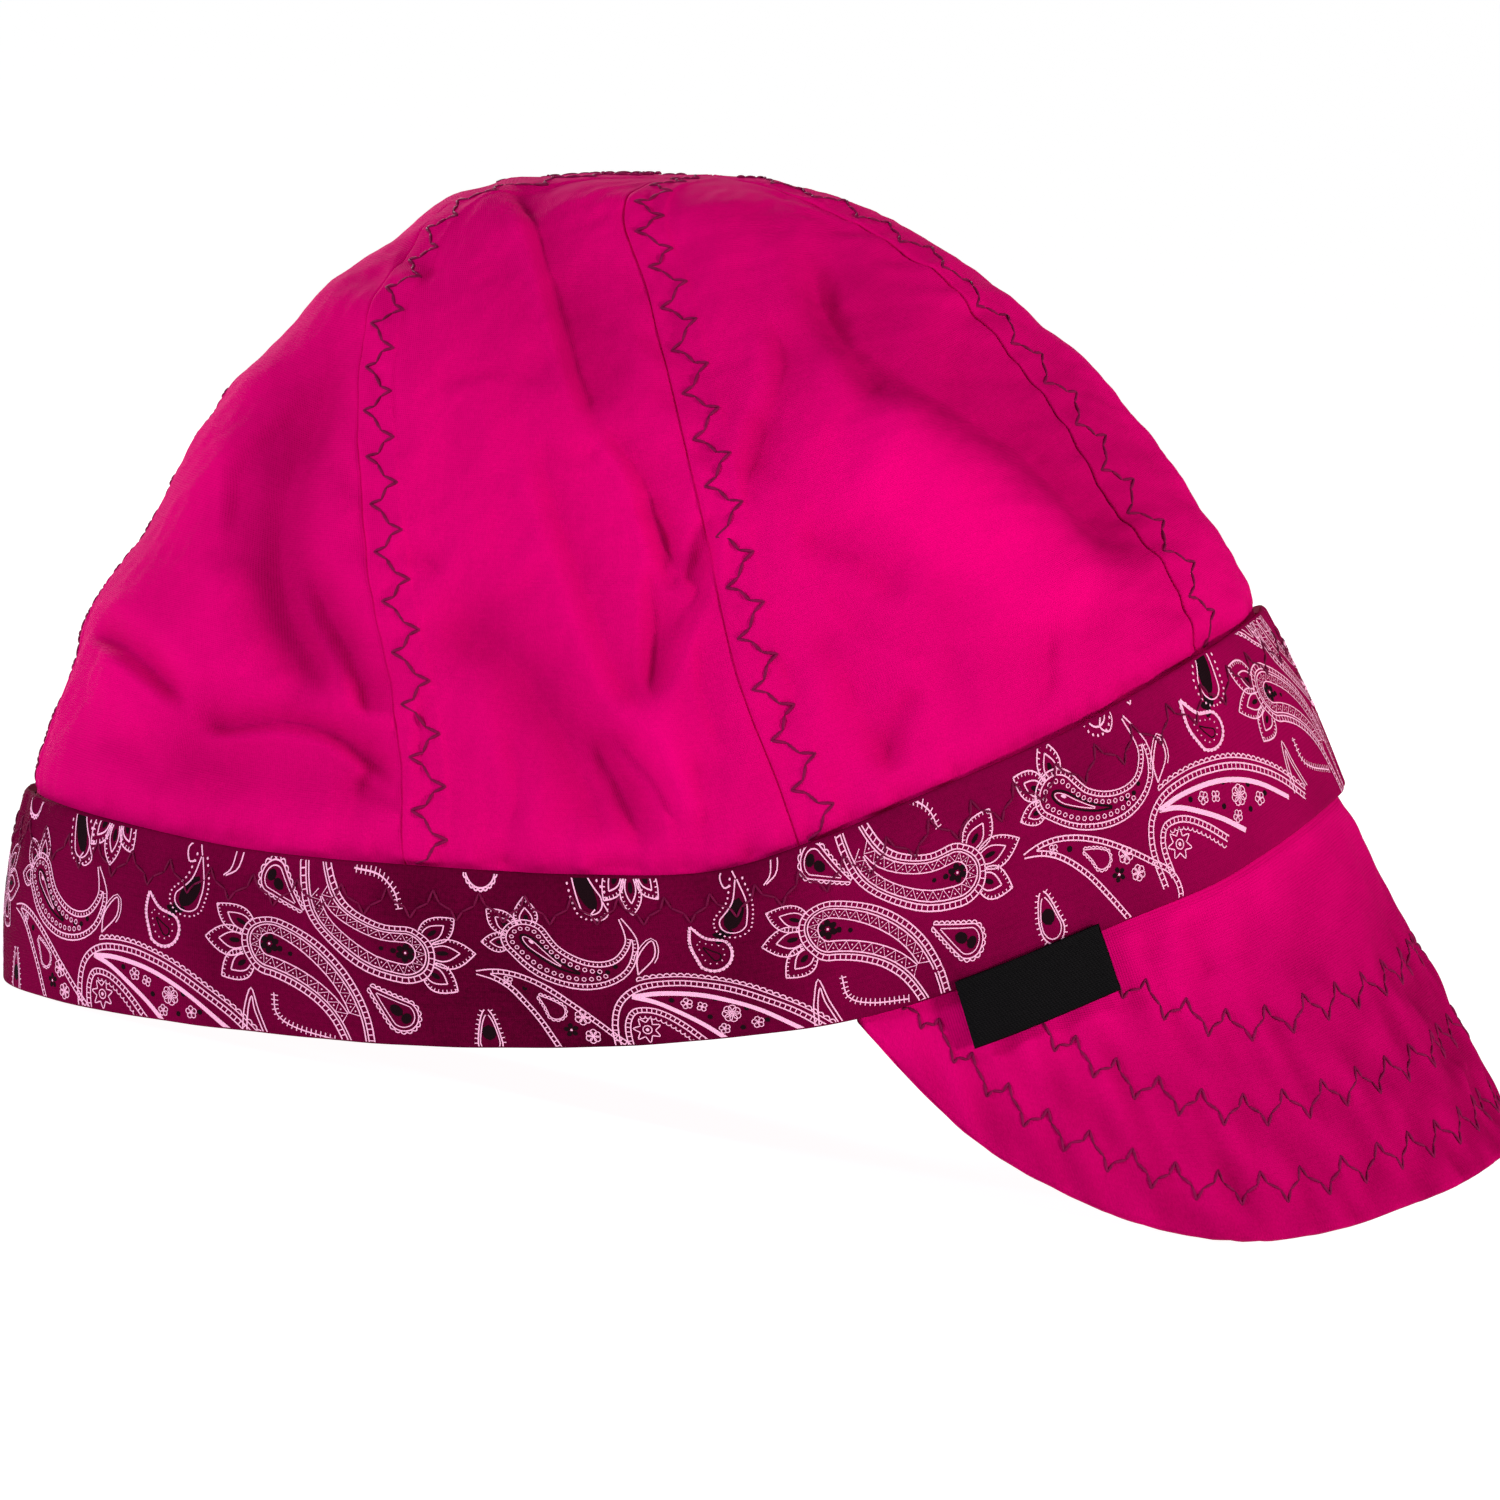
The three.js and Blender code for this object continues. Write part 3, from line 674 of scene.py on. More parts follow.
def sew(name, rows, material=plum_thread, radius=0.27):
    """Short bowed stitches between needle holes; rows holds lists of (hole, outward) in mm."""
    bm = bmesh.new()
    rim, along = 6, 5
    for holes, normals in rows:
        for k in range(len(holes) - 1):
            a, b = holes[k], holes[k + 1]
            out = normals[k] + normals[k + 1]
            out = out / np.linalg.norm(out)
            line = b - a
            span = np.linalg.norm(line)
            if span < 0.3 or span > 9:
                continue
            line = line / span
            across = np.cross(line, out)
            made = bmesh.ops.create_grid(bm, x_segments=along, y_segments=rim, size=0.5)
            for vert in made["verts"]:
                s, turn_share = vert.co.x + 0.5, vert.co.y + 0.5
                angle = 2 * math.pi * turn_share
                bow = 0.17 * math.sin(math.pi * s) ** 0.7 - 0.08
                thick = radius * (0.66 + 0.34 * math.sin(math.pi * s) ** 0.5)
                side, lift = thick * math.cos(angle), bow + thick * math.sin(angle)
                vert.co = Vector(a + (b - a) * s + out * lift + across * side)
    bmesh.ops.remove_doubles(bm, verts=bm.verts, dist=0.004)
    boundary = [edge for edge in bm.edges if edge.is_boundary]
    bmesh.ops.holes_fill(bm, edges=boundary, sides=12)
    bmesh.ops.recalc_face_normals(bm, faces=bm.faces)
    mesh = mesh_from(bm, name)
    lay_out(mesh, vertex_points(mesh))
    add_piece(name, mesh, material)


seam_width, seam_offset = 6.0, 4.3
for name in seam_names[1:]:
    levels = np.linspace(0.004, 0.975, 400)
    path = smooth_cap(read(seams, name, levels), levels)
    run = run_along(path)
    holes = zigzag_points(run[-1], zigzag_step, seam_width)
    level = np.interp(holes[:, 0], run, levels)
    _, _, ring = seam_side(read(seams, name, level) - 0.001, level)
    shrink = 1 - 0.55 * ease((level - 0.9) / 0.08)
    across = (seam_offset + holes[:, 1]) * shrink
    at, normal = crown_cloth(read(seams, name, level) - across / ring, level, np.ones_like(level))
    sew("seam_stitches_" + name, [(at, normal)])


# Hem band: one strip of wine-coloured print cotton folded over the crown's lower edge and sewn
# round; its lower fold is the hem. It puckers along its top edge and creases above the hem.
band_creases = (
    (((-55, 13), (-39, 9.5), (-16, 10), (16, 10.2), (38, 14), (56, 18.5), (68, 24.5)),
      0.75, 1.2, 2.6, 0.6),
)


def band_cloth(around, height, off=0.0):
    """A point of the band's outer face and its normal; height is mm above the hem's fold."""
    level = height / band_width - 1
    at = smooth_cap(around, level)
    normal = facing(smooth_cap, around, np.clip(level, -0.98, -0.02), 0.002, 0.01)
    run = around % 1 * band_round
    near_top = np.exp(-(((band_width - height) / 8) ** 2))
    near_hem = np.exp(-((height / 7) ** 2))
    lift = 0.22 * near_top * ripple(run, 0 * run, 11, 21) + 0.12 * near_top * ripple(run, 0 * run, 5, 22)
    lift = lift + 0.14 * near_hem * ripple(run, 0 * run, 14, 23) + 0.2 * ripple(run, height, 38, 24)
    lift = lift + ease((-at[..., 1] - 30) / 15) * fold_height(*side_view(at), band_creases)
    rear = ease((-at[..., 1] - 20) / 20) * ease((around % 1 - 0.16) / 0.06)
    lift = lift - 0.5 * ease((9 - height) / 9) * rear
    round_top = 0.55 * (1 - rounded((band_width - height) / 0.7))
    round_hem = 0.6 * (1 - rounded(height / 0.8))
    lift = np.clip(lift, -0.8, 0.8) + 0.6 - round_top - round_hem + off
    return at + normal * lift[..., None], normal


def band_place(a, b):
    # rows lie closer together towards both edges
    height = band_width * (0.5 + 0.5 * np.sin((b - 0.5) * math.pi * 0.96) / math.sin(math.pi * 0.48))
    return band_cloth(a, height)[0]


def band_uv(a, b):
    return a * band_round, b * band_width


def band_painted_shading_and_mottle(a, b):
    # painted light and shade round the band: darkest on the wearer's right, lightest at the right front,
    # with a little random unevenness of tone
    around = (0, 0.07, 0.13, 0.23, 0.30, 0.40, 0.50, 0.70, 0.86, 1)
    dye = (0.14, 0.24, -0.10, -0.34, -0.42, -0.22, -0.25, -0.25, -0.05, 0.14)
    return np.interp(a, around, dye) + 0.05 * ripple(a * band_round, b * 30, 40, 25)


band_wall = 0.0015
print_ground = cotton("print_ground", (0.30, 0.0004, 0.062), (0.040, 0.0003, 0.008), 0.4, 0.012)
band_mesh = cloth_grid("band_cloth", 740, 44, band_place, band_uv, closed=True, painted_shading=band_painted_shading_and_mottle)
band_piece = add_piece("band_cloth", band_mesh, print_ground, ["hem_band"])
give_wall(band_piece, band_wall)


# Band stitches: one zigzag row of wine thread, close to the cloth's colour, that holds the band to
# the crown just below the band's top edge. It starts and ends at the back.
wine_thread = thread("wine_thread", (0.15, 0.001, 0.038), (0.10, 0.0008, 0.025))
band_holes = zigzag_points(band_round - 0.02, 8.0, 5.0)
band_holes = band_holes[band_holes[:, 0] < band_round - 1]
row_height = band_width - 5.2
holes, normals = band_cloth(band_holes[:, 0] / band_round + 0.5, row_height + band_holes[:, 1], 0.05)
sew("band_stitches", [(holes, normals)], wine_thread, 0.2)


# Band print: a traditional paisley repeat 95 mm long in white line and black fill. It is drawn
# flat in mm (x along the band, y above the hem), repeated, trimmed to the band and laid on the cloth.
repeat = 95.0
# every line is printed a little finer than it is drawn
pen = 0.84
white_print = bmesh.new()
black_print = bmesh.new()


def left_of(way):
    """Unit steps to the left of the ways that a line runs."""
    way = way / (np.linalg.norm(way, axis=1, keepdims=True) + 1e-9)
    return np.stack((-way[:, 1], way[:, 0]), -1)


def draw_line(points, width=0.27, target=None):
    """A printed line of even width, white unless told otherwise."""
    p = np.array(points, float)
    p = p[np.concatenate(([True], np.linalg.norm(np.diff(p, axis=0), axis=1) > 0.02))]
    if len(p) < 2:
        return
    side = left_of(np.gradient(p, axis=0)) * width * pen / 2
    strip = bmesh.ops.create_grid(target or white_print, x_segments=len(p) - 1, y_segments=1, size=0.5)
    for vert in strip["verts"]:
        k = int(round((vert.co.x + 0.5) * (len(p) - 1)))
        spot = p[k] + side[k] * (1 if vert.co.y > 0 else -1)
        vert.co = (spot[0], spot[1], 0)


def draw_dot(at, radius=0.22, target=None):
    disc = bmesh.ops.create_circle(target or white_print, cap_ends=True, radius=radius, segments=8)
    bmesh.ops.translate(target or white_print, vec=(at[0], at[1], 0), verts=disc["verts"])


def draw_petal(at, angle, length, width, target=None):
    """A filled leaf with its root at the given point, printed black unless told otherwise."""
    leaf = bmesh.ops.create_grid(target or black_print, x_segments=7, y_segments=4, size=0.5)
    c, s = math.cos(angle), math.sin(angle)
    for vert in leaf["verts"]:
        t = vert.co.x + 0.5
        x, y = t * length, vert.co.y * width * math.sqrt(max(1 - (2 * t - 1) ** 2, 0.0004))
        vert.co = (at[0] + x * c - y * s, at[1] + x * s + y * c, 0)


def draw_ring(at, radius, width=0.22):
    """A small circle in line."""
    turn = np.linspace(0, 2 * math.pi, 11)
    draw_line(np.array(at) + radius * np.stack((np.cos(turn), np.sin(turn)), -1), width)


def draw_flower(at, size, petals=5, filled=False):
    for k in range(petals):
        way = 2 * math.pi * k / petals + 0.4
        out = np.array([math.cos(way), math.sin(way)])
        if filled:
            draw_petal(np.array(at) + size * 0.12 * out, way, size * 0.4, size * 0.32)
        else:
            draw_ring(np.array(at) + size * 0.31 * out, size * 0.21, 0.2)
    draw_dot(at, 0.2)


def beside(points, gap):
    """The same line moved to its left by gap."""
    p = np.array(points, float)
    return p + left_of(np.gradient(p, axis=0)) * gap


def points_at(s, run, line):
    return np.stack([np.interp(s, run, line[:, k]) for k in (0, 1)], -1)


def spaced(points, gap):
    """Places every gap mm along a line, with the way the line runs there."""
    p = np.array(points, float)
    run = run_along(p)
    s = np.arange(gap / 2, run[-1], gap)
    spots = points_at(s, run, p)
    way = points_at(s + 0.05, run, p) - spots
    return spots, way / (np.linalg.norm(way, axis=1, keepdims=True) + 1e-9)


def draw_teeth(points, length, gap=0.85, width=0.2):
    """Short strokes standing off a line on its left, as in a ladder."""
    for spot, way in zip(*spaced(points, gap)):
        draw_line([spot, spot + np.array([-way[1], way[0]]) * length], width)


def draw_scallops(points, gap=1.0, width=0.24):
    """A row of small arches standing on the left of a line."""
    half = np.linspace(math.pi, 0, 6)
    for spot, way in zip(*spaced(points, gap)):
        side = np.array([-way[1], way[0]])
        arch = spot + gap / 2 * (np.cos(half)[:, None] * way + 1.1 * np.sin(half)[:, None] * side)
        draw_line(arch, width)


class Paisley:
    """A curled drop: a spine from the end of its round head to its tip, and its greatest half width."""

    def __init__(self, spine, radius, power=1.0, stretch=1.0):
        self.line = eased_line(spine)
        self.run = run_along(self.line)
        self.radius, self.power, self.head = radius, power, radius * stretch

    def edge(self, share, inset=0.0):
        """Points round the outline: share runs from -1 at the tip over 0 at the head to 1."""
        share = np.atleast_1d(np.asarray(share, float))
        w = np.abs(share)
        turn = np.clip(w / 0.35, 0, 1) * math.pi / 2
        q = np.clip((w - 0.35) / 0.65, 0, 1)
        head = self.head
        s = np.where(w < 0.35, head - (head - inset) * np.cos(turn), head + q * (self.run[-1] - head))
        tail = self.radius * (1 - q) ** self.power - inset
        half = np.where(w < 0.35, (self.radius - inset) * np.sin(turn), tail)

        def along(s):
            first = (self.line[1] - self.line[0]) / self.run[1]
            return points_at(s, self.run, self.line) + np.minimum(s, 0)[:, None] * first

        side = left_of(along(s + 0.6) - along(s - 0.6))
        return along(s) + side * (np.sign(share) * np.maximum(half, 0))[:, None], half > 0.04

    def outline(self, inset=0.0, count=64):
        spots, keep = self.edge(np.linspace(-1, 1, count), inset)
        return spots[keep | (np.abs(np.linspace(-1, 1, count)) < 0.34)]

    def zigzag(self, outer, inner, gap):
        """A zigzag between two insets, a dot in each triangle."""
        share = np.linspace(-1, 1, 200)
        a, keep_a = self.edge(share, outer)
        b, keep_b = self.edge(share, inner)
        a, b = a[keep_b & keep_a], b[keep_b & keep_a]
        run = run_along(a)
        s = np.arange(0.2, run[-1], gap)
        outward = (np.arange(len(s)) % 2 == 0)[:, None]
        marks = np.where(outward, points_at(s, run, a), points_at(s, run, b))
        draw_line(marks, 0.2)
        for p, q, r in zip(marks, marks[1:], marks[2:]):
            draw_dot((p + q + r) / 3, 0.14)


def draw_crown(centre, ways, inner, outer, width=0.27):
    """Toothed petals round a paisley's head, each drawn twice with a black seed at its root."""
    t = np.linspace(0, 1, 9)
    for way, reach in zip(ways, outer):
        for scale, spread in ((1.0, 0.34), (0.62, 0.2)):
            tip = inner + (reach - inner) * scale
            r = inner + (tip - inner) * t
            swell = spread * (1 - t**1.7) * (1 + 0.3 * np.sin(math.pi * t))
            for flip in (-1, 1):
                angle = way + flip * swell
                side = np.array(centre) + np.stack((r * np.cos(angle), r * np.sin(angle)), -1)
                draw_line(side, width)
                if scale == 1.0:
                    draw_teeth(side, 0.5 * flip * -1, 0.75, 0.18)
        root = np.array(centre) + (inner + 0.25) * np.array([math.cos(way), math.sin(way)])
        draw_petal(root, way, (reach - inner) * 0.3, 0.8)


def ladder_paisley(spine, ways, outer):
    shape = Paisley(spine, 5.2, 0.62)
    draw_line(shape.outline(0, 72))
    ladder = shape.outline(0.95, 72)
    draw_line(ladder, 0.26)
    draw_teeth(ladder, 0.95, 0.95)
    draw_line(shape.outline(1.45), 0.26)
    shape.zigzag(1.5, 3.1, 1.0)
    draw_line(shape.outline(3.2), 0.24)
    middle, _ = shape.edge([0.0], 4.9)
    spots, _ = shape.edge([0.42, 0.5], 5.1)
    draw_flower(middle[0], 3.3, 6, filled=True)
    head, _ = shape.edge([0.0], shape.head)
    draw_dot((middle[0] + spots[0]) / 2, 0.5, black_print)
    draw_dot(spots[0], 0.4, black_print)
    draw_crown(head[0], ways, 5.25, outer)


def scalloped_drop(spine, radius):
    shape = Paisley(spine, radius, 1.0)
    edge = shape.outline(0.1)
    draw_line(edge, 0.24)
    draw_scallops(edge, 0.95, 0.22)
    draw_line(shape.outline(0.75), 0.2)
    middle, _ = shape.edge([0.0], radius)
    gap = shape.line[-1] - shape.line[0]
    way = math.atan2(gap[1], gap[0])
    draw_petal(middle[0], way, radius * 0.85, radius * 0.62)
    draw_petal(middle[0], way + math.pi, radius * 0.6, radius * 0.7)


def dotted_drop(spine, radius, hook):
    shape = Paisley(spine, radius, 0.9)
    draw_line(shape.outline(0), 0.28)
    for spot in spaced(shape.outline(-1.0), 0.92)[0]:
        draw_dot(spot, 0.19)
    root, _ = shape.edge([0.0], 0.45)
    tip = shape.line[int(len(shape.line) * 0.72)]
    gap = tip - root[0]
    draw_petal(root[0], math.atan2(gap[1], gap[0]), np.linalg.norm(gap), radius * 1.3)
    draw_line(eased_line(hook), 0.28)


# the two ladder paisleys, their crowns turned opposite ways
degree = math.pi / 180
ladder_paisley(
    ((15.8, 15.0), (18.6, 14.9), (22.4, 14.0), (27.2, 11.6), (31.4, 8.0), (34.2, 3.2), (35.6, -4),
      (36, -12)),
    (146 * degree, 180 * degree, 215 * degree), (12.0, 11.8, 10.8),
)
ladder_paisley(
    ((49.0, 15.2), (45.2, 14.9), (39.6, 15.6), (34.8, 18.2), (31.0, 22.0), (28.8, 27), (27.4, 33),
      (27, 42)),
    (40 * degree, 2 * degree, -36 * degree), (11.6, 12.2, 10.6),
)
# the hook-tailed paisley: toothed border, a row of small rings, a black lens, a leaf by its tail
hook_spine = (
    (62.4, 22.2), (64.5, 19.0), (67.6, 14.9), (72.2, 12.4), (76.8, 12.0), (80.4, 13.6), (82.4, 17.2),
    (82.2, 20.4), (80.6, 24.4),
)
hook = Paisley(hook_spine, 4.1, 0.9)
draw_line(hook.outline(0, 80))
draw_teeth(hook.outline(0.85, 80), 0.55, 0.75)
draw_line(hook.outline(0.85, 80), 0.26)
for spot in spaced(hook.outline(1.75), 1.25)[0][1:-1]:
    draw_ring(spot, 0.34, 0.18)
lens = Paisley(((64.0, 19.6), (66.6, 16.6), (70.0, 13.7), (73.6, 12.0)), 1.15, 0.8, 2.4)
draw_line(lens.outline(0), 0.42, black_print)
draw_line(lens.outline(0.45), 0.2)
draw_petal((65.2, 18.6), -0.8, 1.1, 0.5, white_print)
for spot in ((76.2, 12.2), (77.8, 12.4), (79.2, 13.4)):
    draw_dot(spot, 0.42, black_print)
draw_crown((65.3, 18.0), (93 * degree, 137 * degree, 181 * degree), 4.3, (8.8, 9.6, 8.2), 0.25)
leaf_line = eased_line(((82.8, 11.8), (83.2, 15.0), (85.9, 18.4), (86.0, 15.0), (82.8, 11.8)))
draw_line(leaf_line, 0.28)
draw_line(beside(leaf_line, 0.55)[3:-3], 0.2)
# the long pointed leaf filled with small flowers
long_spine = ((78.5, -8), (74.6, -3), (71.0, 2.0), (67.4, 6.4), (63.2, 10.0), (59.2, 11.8), (54.6, 12.2))
pointed = Paisley(long_spine, 5.6, 0.95)
draw_line(pointed.outline(0, 72))
draw_line(pointed.outline(0.75, 72), 0.24)
draw_teeth(pointed.outline(0.75, 72), 0.75, 0.9)
draw_flower((60.9, 10.9), 1.6, 4)
draw_dot((63.6, 9.7), 0.5, black_print)
small = Paisley(((69.2, 4.6), (67.6, 6.8), (65.6, 8.6)), 1.5)
draw_line(small.outline(0), 0.2)
draw_scallops(small.outline(0), 0.7, 0.2)
draw_flower((72.6, 4.6), 2.6, 6)
draw_flower((70.4, 2.4), 2.4, 5, filled=True)
draw_flower((73.8, 1.2), 2.4, 6)
# the large paisley: scalloped outside, a ladder, a thick white band, flowers, a curled star flower
outer_line = eased_line((
    (77.4, -3), (77.2, 3.0), (78.8, 7.4), (82.6, 9.9), (88.4, 10.4), (93.6, 9.6), (98.6, 8.0),
    (103.6, 5.4), (108.4, 2.2), (113, -2),
))
draw_line(outer_line)
draw_line(beside(outer_line, -0.9))
draw_teeth(outer_line, -0.9, 0.95)
draw_line(beside(outer_line, 0.75)[12:], 0.22)
draw_scallops(beside(outer_line, 0.75)[12:], 1.15)
upper_band = eased_line(((81.2, 8.0), (86.0, 8.3), (92.0, 7.6), (97.0, 6.0), (102.0, 3.4), (108, -1)))
lower_band = eased_line(((81.2, 8.0), (85.0, 6.8), (89.0, 4.4), (92.5, 1.8), (96, -1.5)))
draw_line(upper_band, 0.9)
draw_line(lower_band, 0.9)
curl_points = ((79.4, -2), (79.3, 2.8), (80.8, 5.6), (83.6, 5.9), (86.4, 4.8), (89.4, 2.4), (92.4, -0.8))
curl = eased_line(curl_points)
draw_line(curl, 0.26)
draw_line(beside(curl, -0.85), 0.26)
draw_teeth(curl, -0.85, 0.85)
draw_scallops(beside(curl, -1.5)[8:][::-1], 0.9, 0.2)
leaf = ((1.3, -0.45), (2.3, 0), (1.3, 0.45))
for k in range(7):
    way = 0.3 + k * 2 * math.pi / 7
    points = [(82.8 + r * math.cos(way + turn), 2.0 + r * math.sin(way + turn)) for r, turn in leaf]
    draw_line(eased_line(points), 0.22)
draw_ring((82.8, 2.0), 0.75)
draw_dot((82.8, 2.0), 0.3)
draw_flower((90.0, 6.2), 1.9, 5)
draw_flower((92.4, 5.4), 1.7, 4)
draw_flower((97.0, 3.6), 3.0, 7)
draw_flower((101.0, 1.4), 2.0, 5)
draw_flower((95.4, 1.0), 1.8, 5)
for spot in ((87.6, 7.0), (94.8, 6.6), (99.6, 4.2), (93.4, 3.4), (102.6, 1.6), (98.4, 0.8)):
    draw_dot(spot, 0.45, black_print)
# smaller drops between them
thick = Paisley(((3.0, 12.4), (1.2, 14.4), (-1.2, 17.2), (-2.3, 21.4)), 3.2, 1.25)
draw_line(thick.outline(0), 0.5)
draw_scallops(thick.outline(0.15), 0.7, 0.3)
draw_line(Paisley(((1.9, 13.6), (0.4, 15.0), (-0.8, 16.4)), 0.75).outline(0), 0.26, black_print)
for spot in spaced(thick.outline(1.25), 1.1)[0]:
    draw_dot(spot, 0.13)
scalloped_drop(((19.0, 28.2), (22.2, 25.6), (27.0, 21.2)), 2.5)
scalloped_drop(((44.9, 2.6), (41.4, 5.6), (37.2, 9.4)), 2.8)
dotted_drop(((4.0, 18.8), (5.5, 21.2), (6.9, 24.4), (7.0, 28.4)), 2.4,
            ((7.0, 28.2), (6.0, 29.8), (4.3, 28.9), (4.7, 27.3), (5.9, 27.4)))
dotted_drop(((77.4, 24.4), (76.0, 26.6), (74.2, 30.0), (72.4, 34)), 2.0,
            ((78.4, 26.2), (79.2, 24.2), (77.6, 22.9), (76.2, 23.9), (77.0, 25.0)))
for way in (0.5, 1.6, 2.7, 3.9):
    draw_petal((3.2, 18.0), way, 2.0, 1.15)
oval = Paisley(((57.0, -3), (56.8, 1), (56.8, 6.2)), 2.6, 0.35, 1.2)
draw_line(oval.outline(0.6))
draw_teeth(oval.outline(0.6), 0.6, 0.8)
draw_line(Paisley(((56.8, -2), (56.8, 1), (56.8, 5.2)), 2.0, 0.4, 1.2).outline(0.4), 0.22)
draw_petal((56.8, 0.6), math.pi / 2, 2.6, 2.2)
cut = Paisley(((57.4, 27.6), (57.2, 30.4), (56, 36)), 2.7)
draw_line(cut.outline(0), 0.3)
draw_scallops(cut.outline(0), 0.8, 0.28)
# sprigs and a lotus cut by the band's edges
draw_crown((83.4, 32.6), (-52 * degree, -90 * degree, -128 * degree), 3.4, (7.6, 8.6, 7.8), 0.26)
for shift in (0.0, 1.2):
    draw_line(eased_line(((11.6 + shift * 0.4, 26.2), (13.2 + shift, 27.6), (14.0 + shift, 31.5))), 0.26)
stems = (
    ((35.2, 29.0), (39.6, 28.4), (42.4, 26.4), (43.2, 23.6)),
    ((21.2, 6.4), (21.4, 2.8), (24.6, 0.8), (31, -0.6)),
)
for points in stems:
    stem = eased_line(points)
    draw_line(stem, 0.26)
    draw_teeth(stem, 0.7, 0.8)
    draw_teeth(stem, -0.5, 0.8)
for shrink in (0.0, 0.7):
    left = ((15.0 + shrink, -1), (15.6 + shrink, 3.0), (17.2, 6.8 - 2 * shrink))
    draw_line(eased_line((*left, (18.2 - shrink, 3.0), (19.6 - shrink, -1))), 0.27)

band_join = 0.5
print_start = 0.240
for name, bm, off, shade in (
    ("band_print_white", white_print, 0.10, (0.95, 0.46, 0.66)),
    ("band_print_black", black_print, 0.05, (0.010, 0.003, 0.005)),
):
    one = list(bm.verts) + list(bm.edges) + list(bm.faces)
    for k in (-2, -1, 1, 2, 3, 4):
        copy = bmesh.ops.duplicate(bm, geom=one)
        moved = [part for part in copy["geom"] if isinstance(part, bmesh.types.BMVert)]
        bmesh.ops.translate(bm, vec=(repeat * k, 0, 0), verts=moved)
    # the print drifts up the band towards the front, as cut
    for vert in bm.verts:
        vert.co.y += 0.8 + 5.5 * math.exp(-(((vert.co.x - 100) / 52) ** 2))
    start = -(band_join - print_start) * band_round
    cuts = (
        ((0, 0.35, 0), (0, -1, 0)),
        ((0, band_width - 0.35, 0), (0, 1, 0)),
        ((start + 0.3, 0, 0), (-1, 0, 0)),
        ((start + band_round - 0.3, 0, 0), (1, 0, 0)),
    )
    for spot, way in cuts:
        everything = list(bm.verts) + list(bm.edges) + list(bm.faces)
        bmesh.ops.bisect_plane(bm, geom=everything, plane_co=spot, plane_no=way, clear_outer=True)
    strays = [vert for vert in bm.verts if not vert.link_faces]
    bmesh.ops.delete(bm, geom=strays, context="VERTS")
    bm.normal_update()
    bmesh.ops.reverse_faces(bm, faces=[face for face in bm.faces if face.normal.z < 0])
    mesh = mesh_from(bm, name)
    flat = vertex_points(mesh)
    laid, _ = band_cloth(print_start - flat[:, 0] / band_round, flat[:, 1], off)
    lay_out(mesh, laid, flat[:, :2])
    ink = cotton(name, shade, tuple(0.8 * value for value in shade), 0.4, 0.03)
    add_piece(name, mesh, ink)


# Peak: a soft stiffened crescent, cotton on both faces turned in along its outer edge, sewn under
# the band's front. Three zigzag rows run side by side along the edge.
peak_names = ("along", "depth", "fall", "flare")
peak_rows = (
    (0, 0.97, 62, 0),
    (0.2, 0.965, 63, 2.3),
    (0.3, 0.95, 63.7, 3.4),
    (0.4, 0.915, 64.9, 4.3),
    (0.5, 0.885, 66.6, 4.9),
    (0.6, 0.835, 68.3, 5.4),
    (0.7, 0.725, 70, 6),
    (0.8, 0.56, 71.3, 5.7),
    (0.9, 0.34, 72.7, 5.3),
    (1, 0, 74, 5),
)
peak_sections = dict(zip(peak_names, np.array(peak_rows, float).T))
peak_depth, peak_half_root, peak_wall, half_edge = 67.5, 0.203, 2.2, 121.0
peak_folds = (
    (((76.6, 21), (78.3, 18), (78, 14.5)), 0.6, 1.6, 2.4, 0.5),
    (((84, 22.5), (85.7, 18.5), (87.8, 14), (89, 11)), 0.7, 1.8, 2.6, 0.5),
    (((93, 27), (95, 20), (94, 13)), 0.5, 3, 3, 0.3),
    (((103, 35), (104, 22), (101, 10)), 0.8, 4, 5, 0.3),
    (((122, 12), (128, 4), (132, -4)), 0.9, 2, 3, 0.4),
    (((66, -6), (70, -12), (73, -17)), 0.35, 1.6, 1.6, 0.3),
)


def smooth_peak(along, drop):
    """The peak's smooth shape, in mm: along runs from -1 to 1 across it, drop down from the hem."""
    around = along * peak_half_root
    share = np.abs(along)
    hem = smooth_cap(around, -1 + 0 * along)
    fall = np.radians(read(peak_sections, "fall", share))
    flare = np.radians(read(peak_sections, "flare", share)) * np.sign(along)
    way = np.stack((np.cos(fall) * np.cos(flare), -np.sin(flare), -np.sin(fall) * np.cos(flare)), -1)
    above = smooth_cap(around, -1 + np.maximum(-drop, 0) / band_width)
    return np.where((drop > 0)[..., None], hem + way * drop[..., None], above)


def peak_reach(along):
    return np.maximum(read(peak_sections, "depth", np.abs(along)), 0) * peak_depth


edge_along = np.linspace(-1, 1, 401)
edge_line = smooth_peak(edge_along, peak_reach(edge_along))


def to_edge(at):
    """Distance in mm from points to the peak's outer edge."""
    near = np.full(len(at), 1e9)
    for spot in edge_line:
        near = np.minimum(near, np.linalg.norm(at - spot, axis=1))
    return near


# the stitch rows: mm in from the edge, share of the peak's half width, mm a zigzag, mm across
peak_row_gaps, peak_row_ends = (8.7, 21.7, 36.0), (0.965, 0.815, 0.68)
peak_step, peak_row_width = 7.8, 5.8


def peak_relief(at):
    """The height of the peak's folds, in mm."""
    return ease((-at[..., 1] - 5) / 10) * fold_height(*side_view(at), peak_folds)


def peak_puckers(along, drop, gap):
    """Short slanting wrinkles that the rows of stitches draw in the cloth, about 1 high."""
    run = np.abs(along) * half_edge
    return ripple(run + 0.25 * drop, 0.42 * drop, 6.5, 35) * ease((46 - gap) / 10)


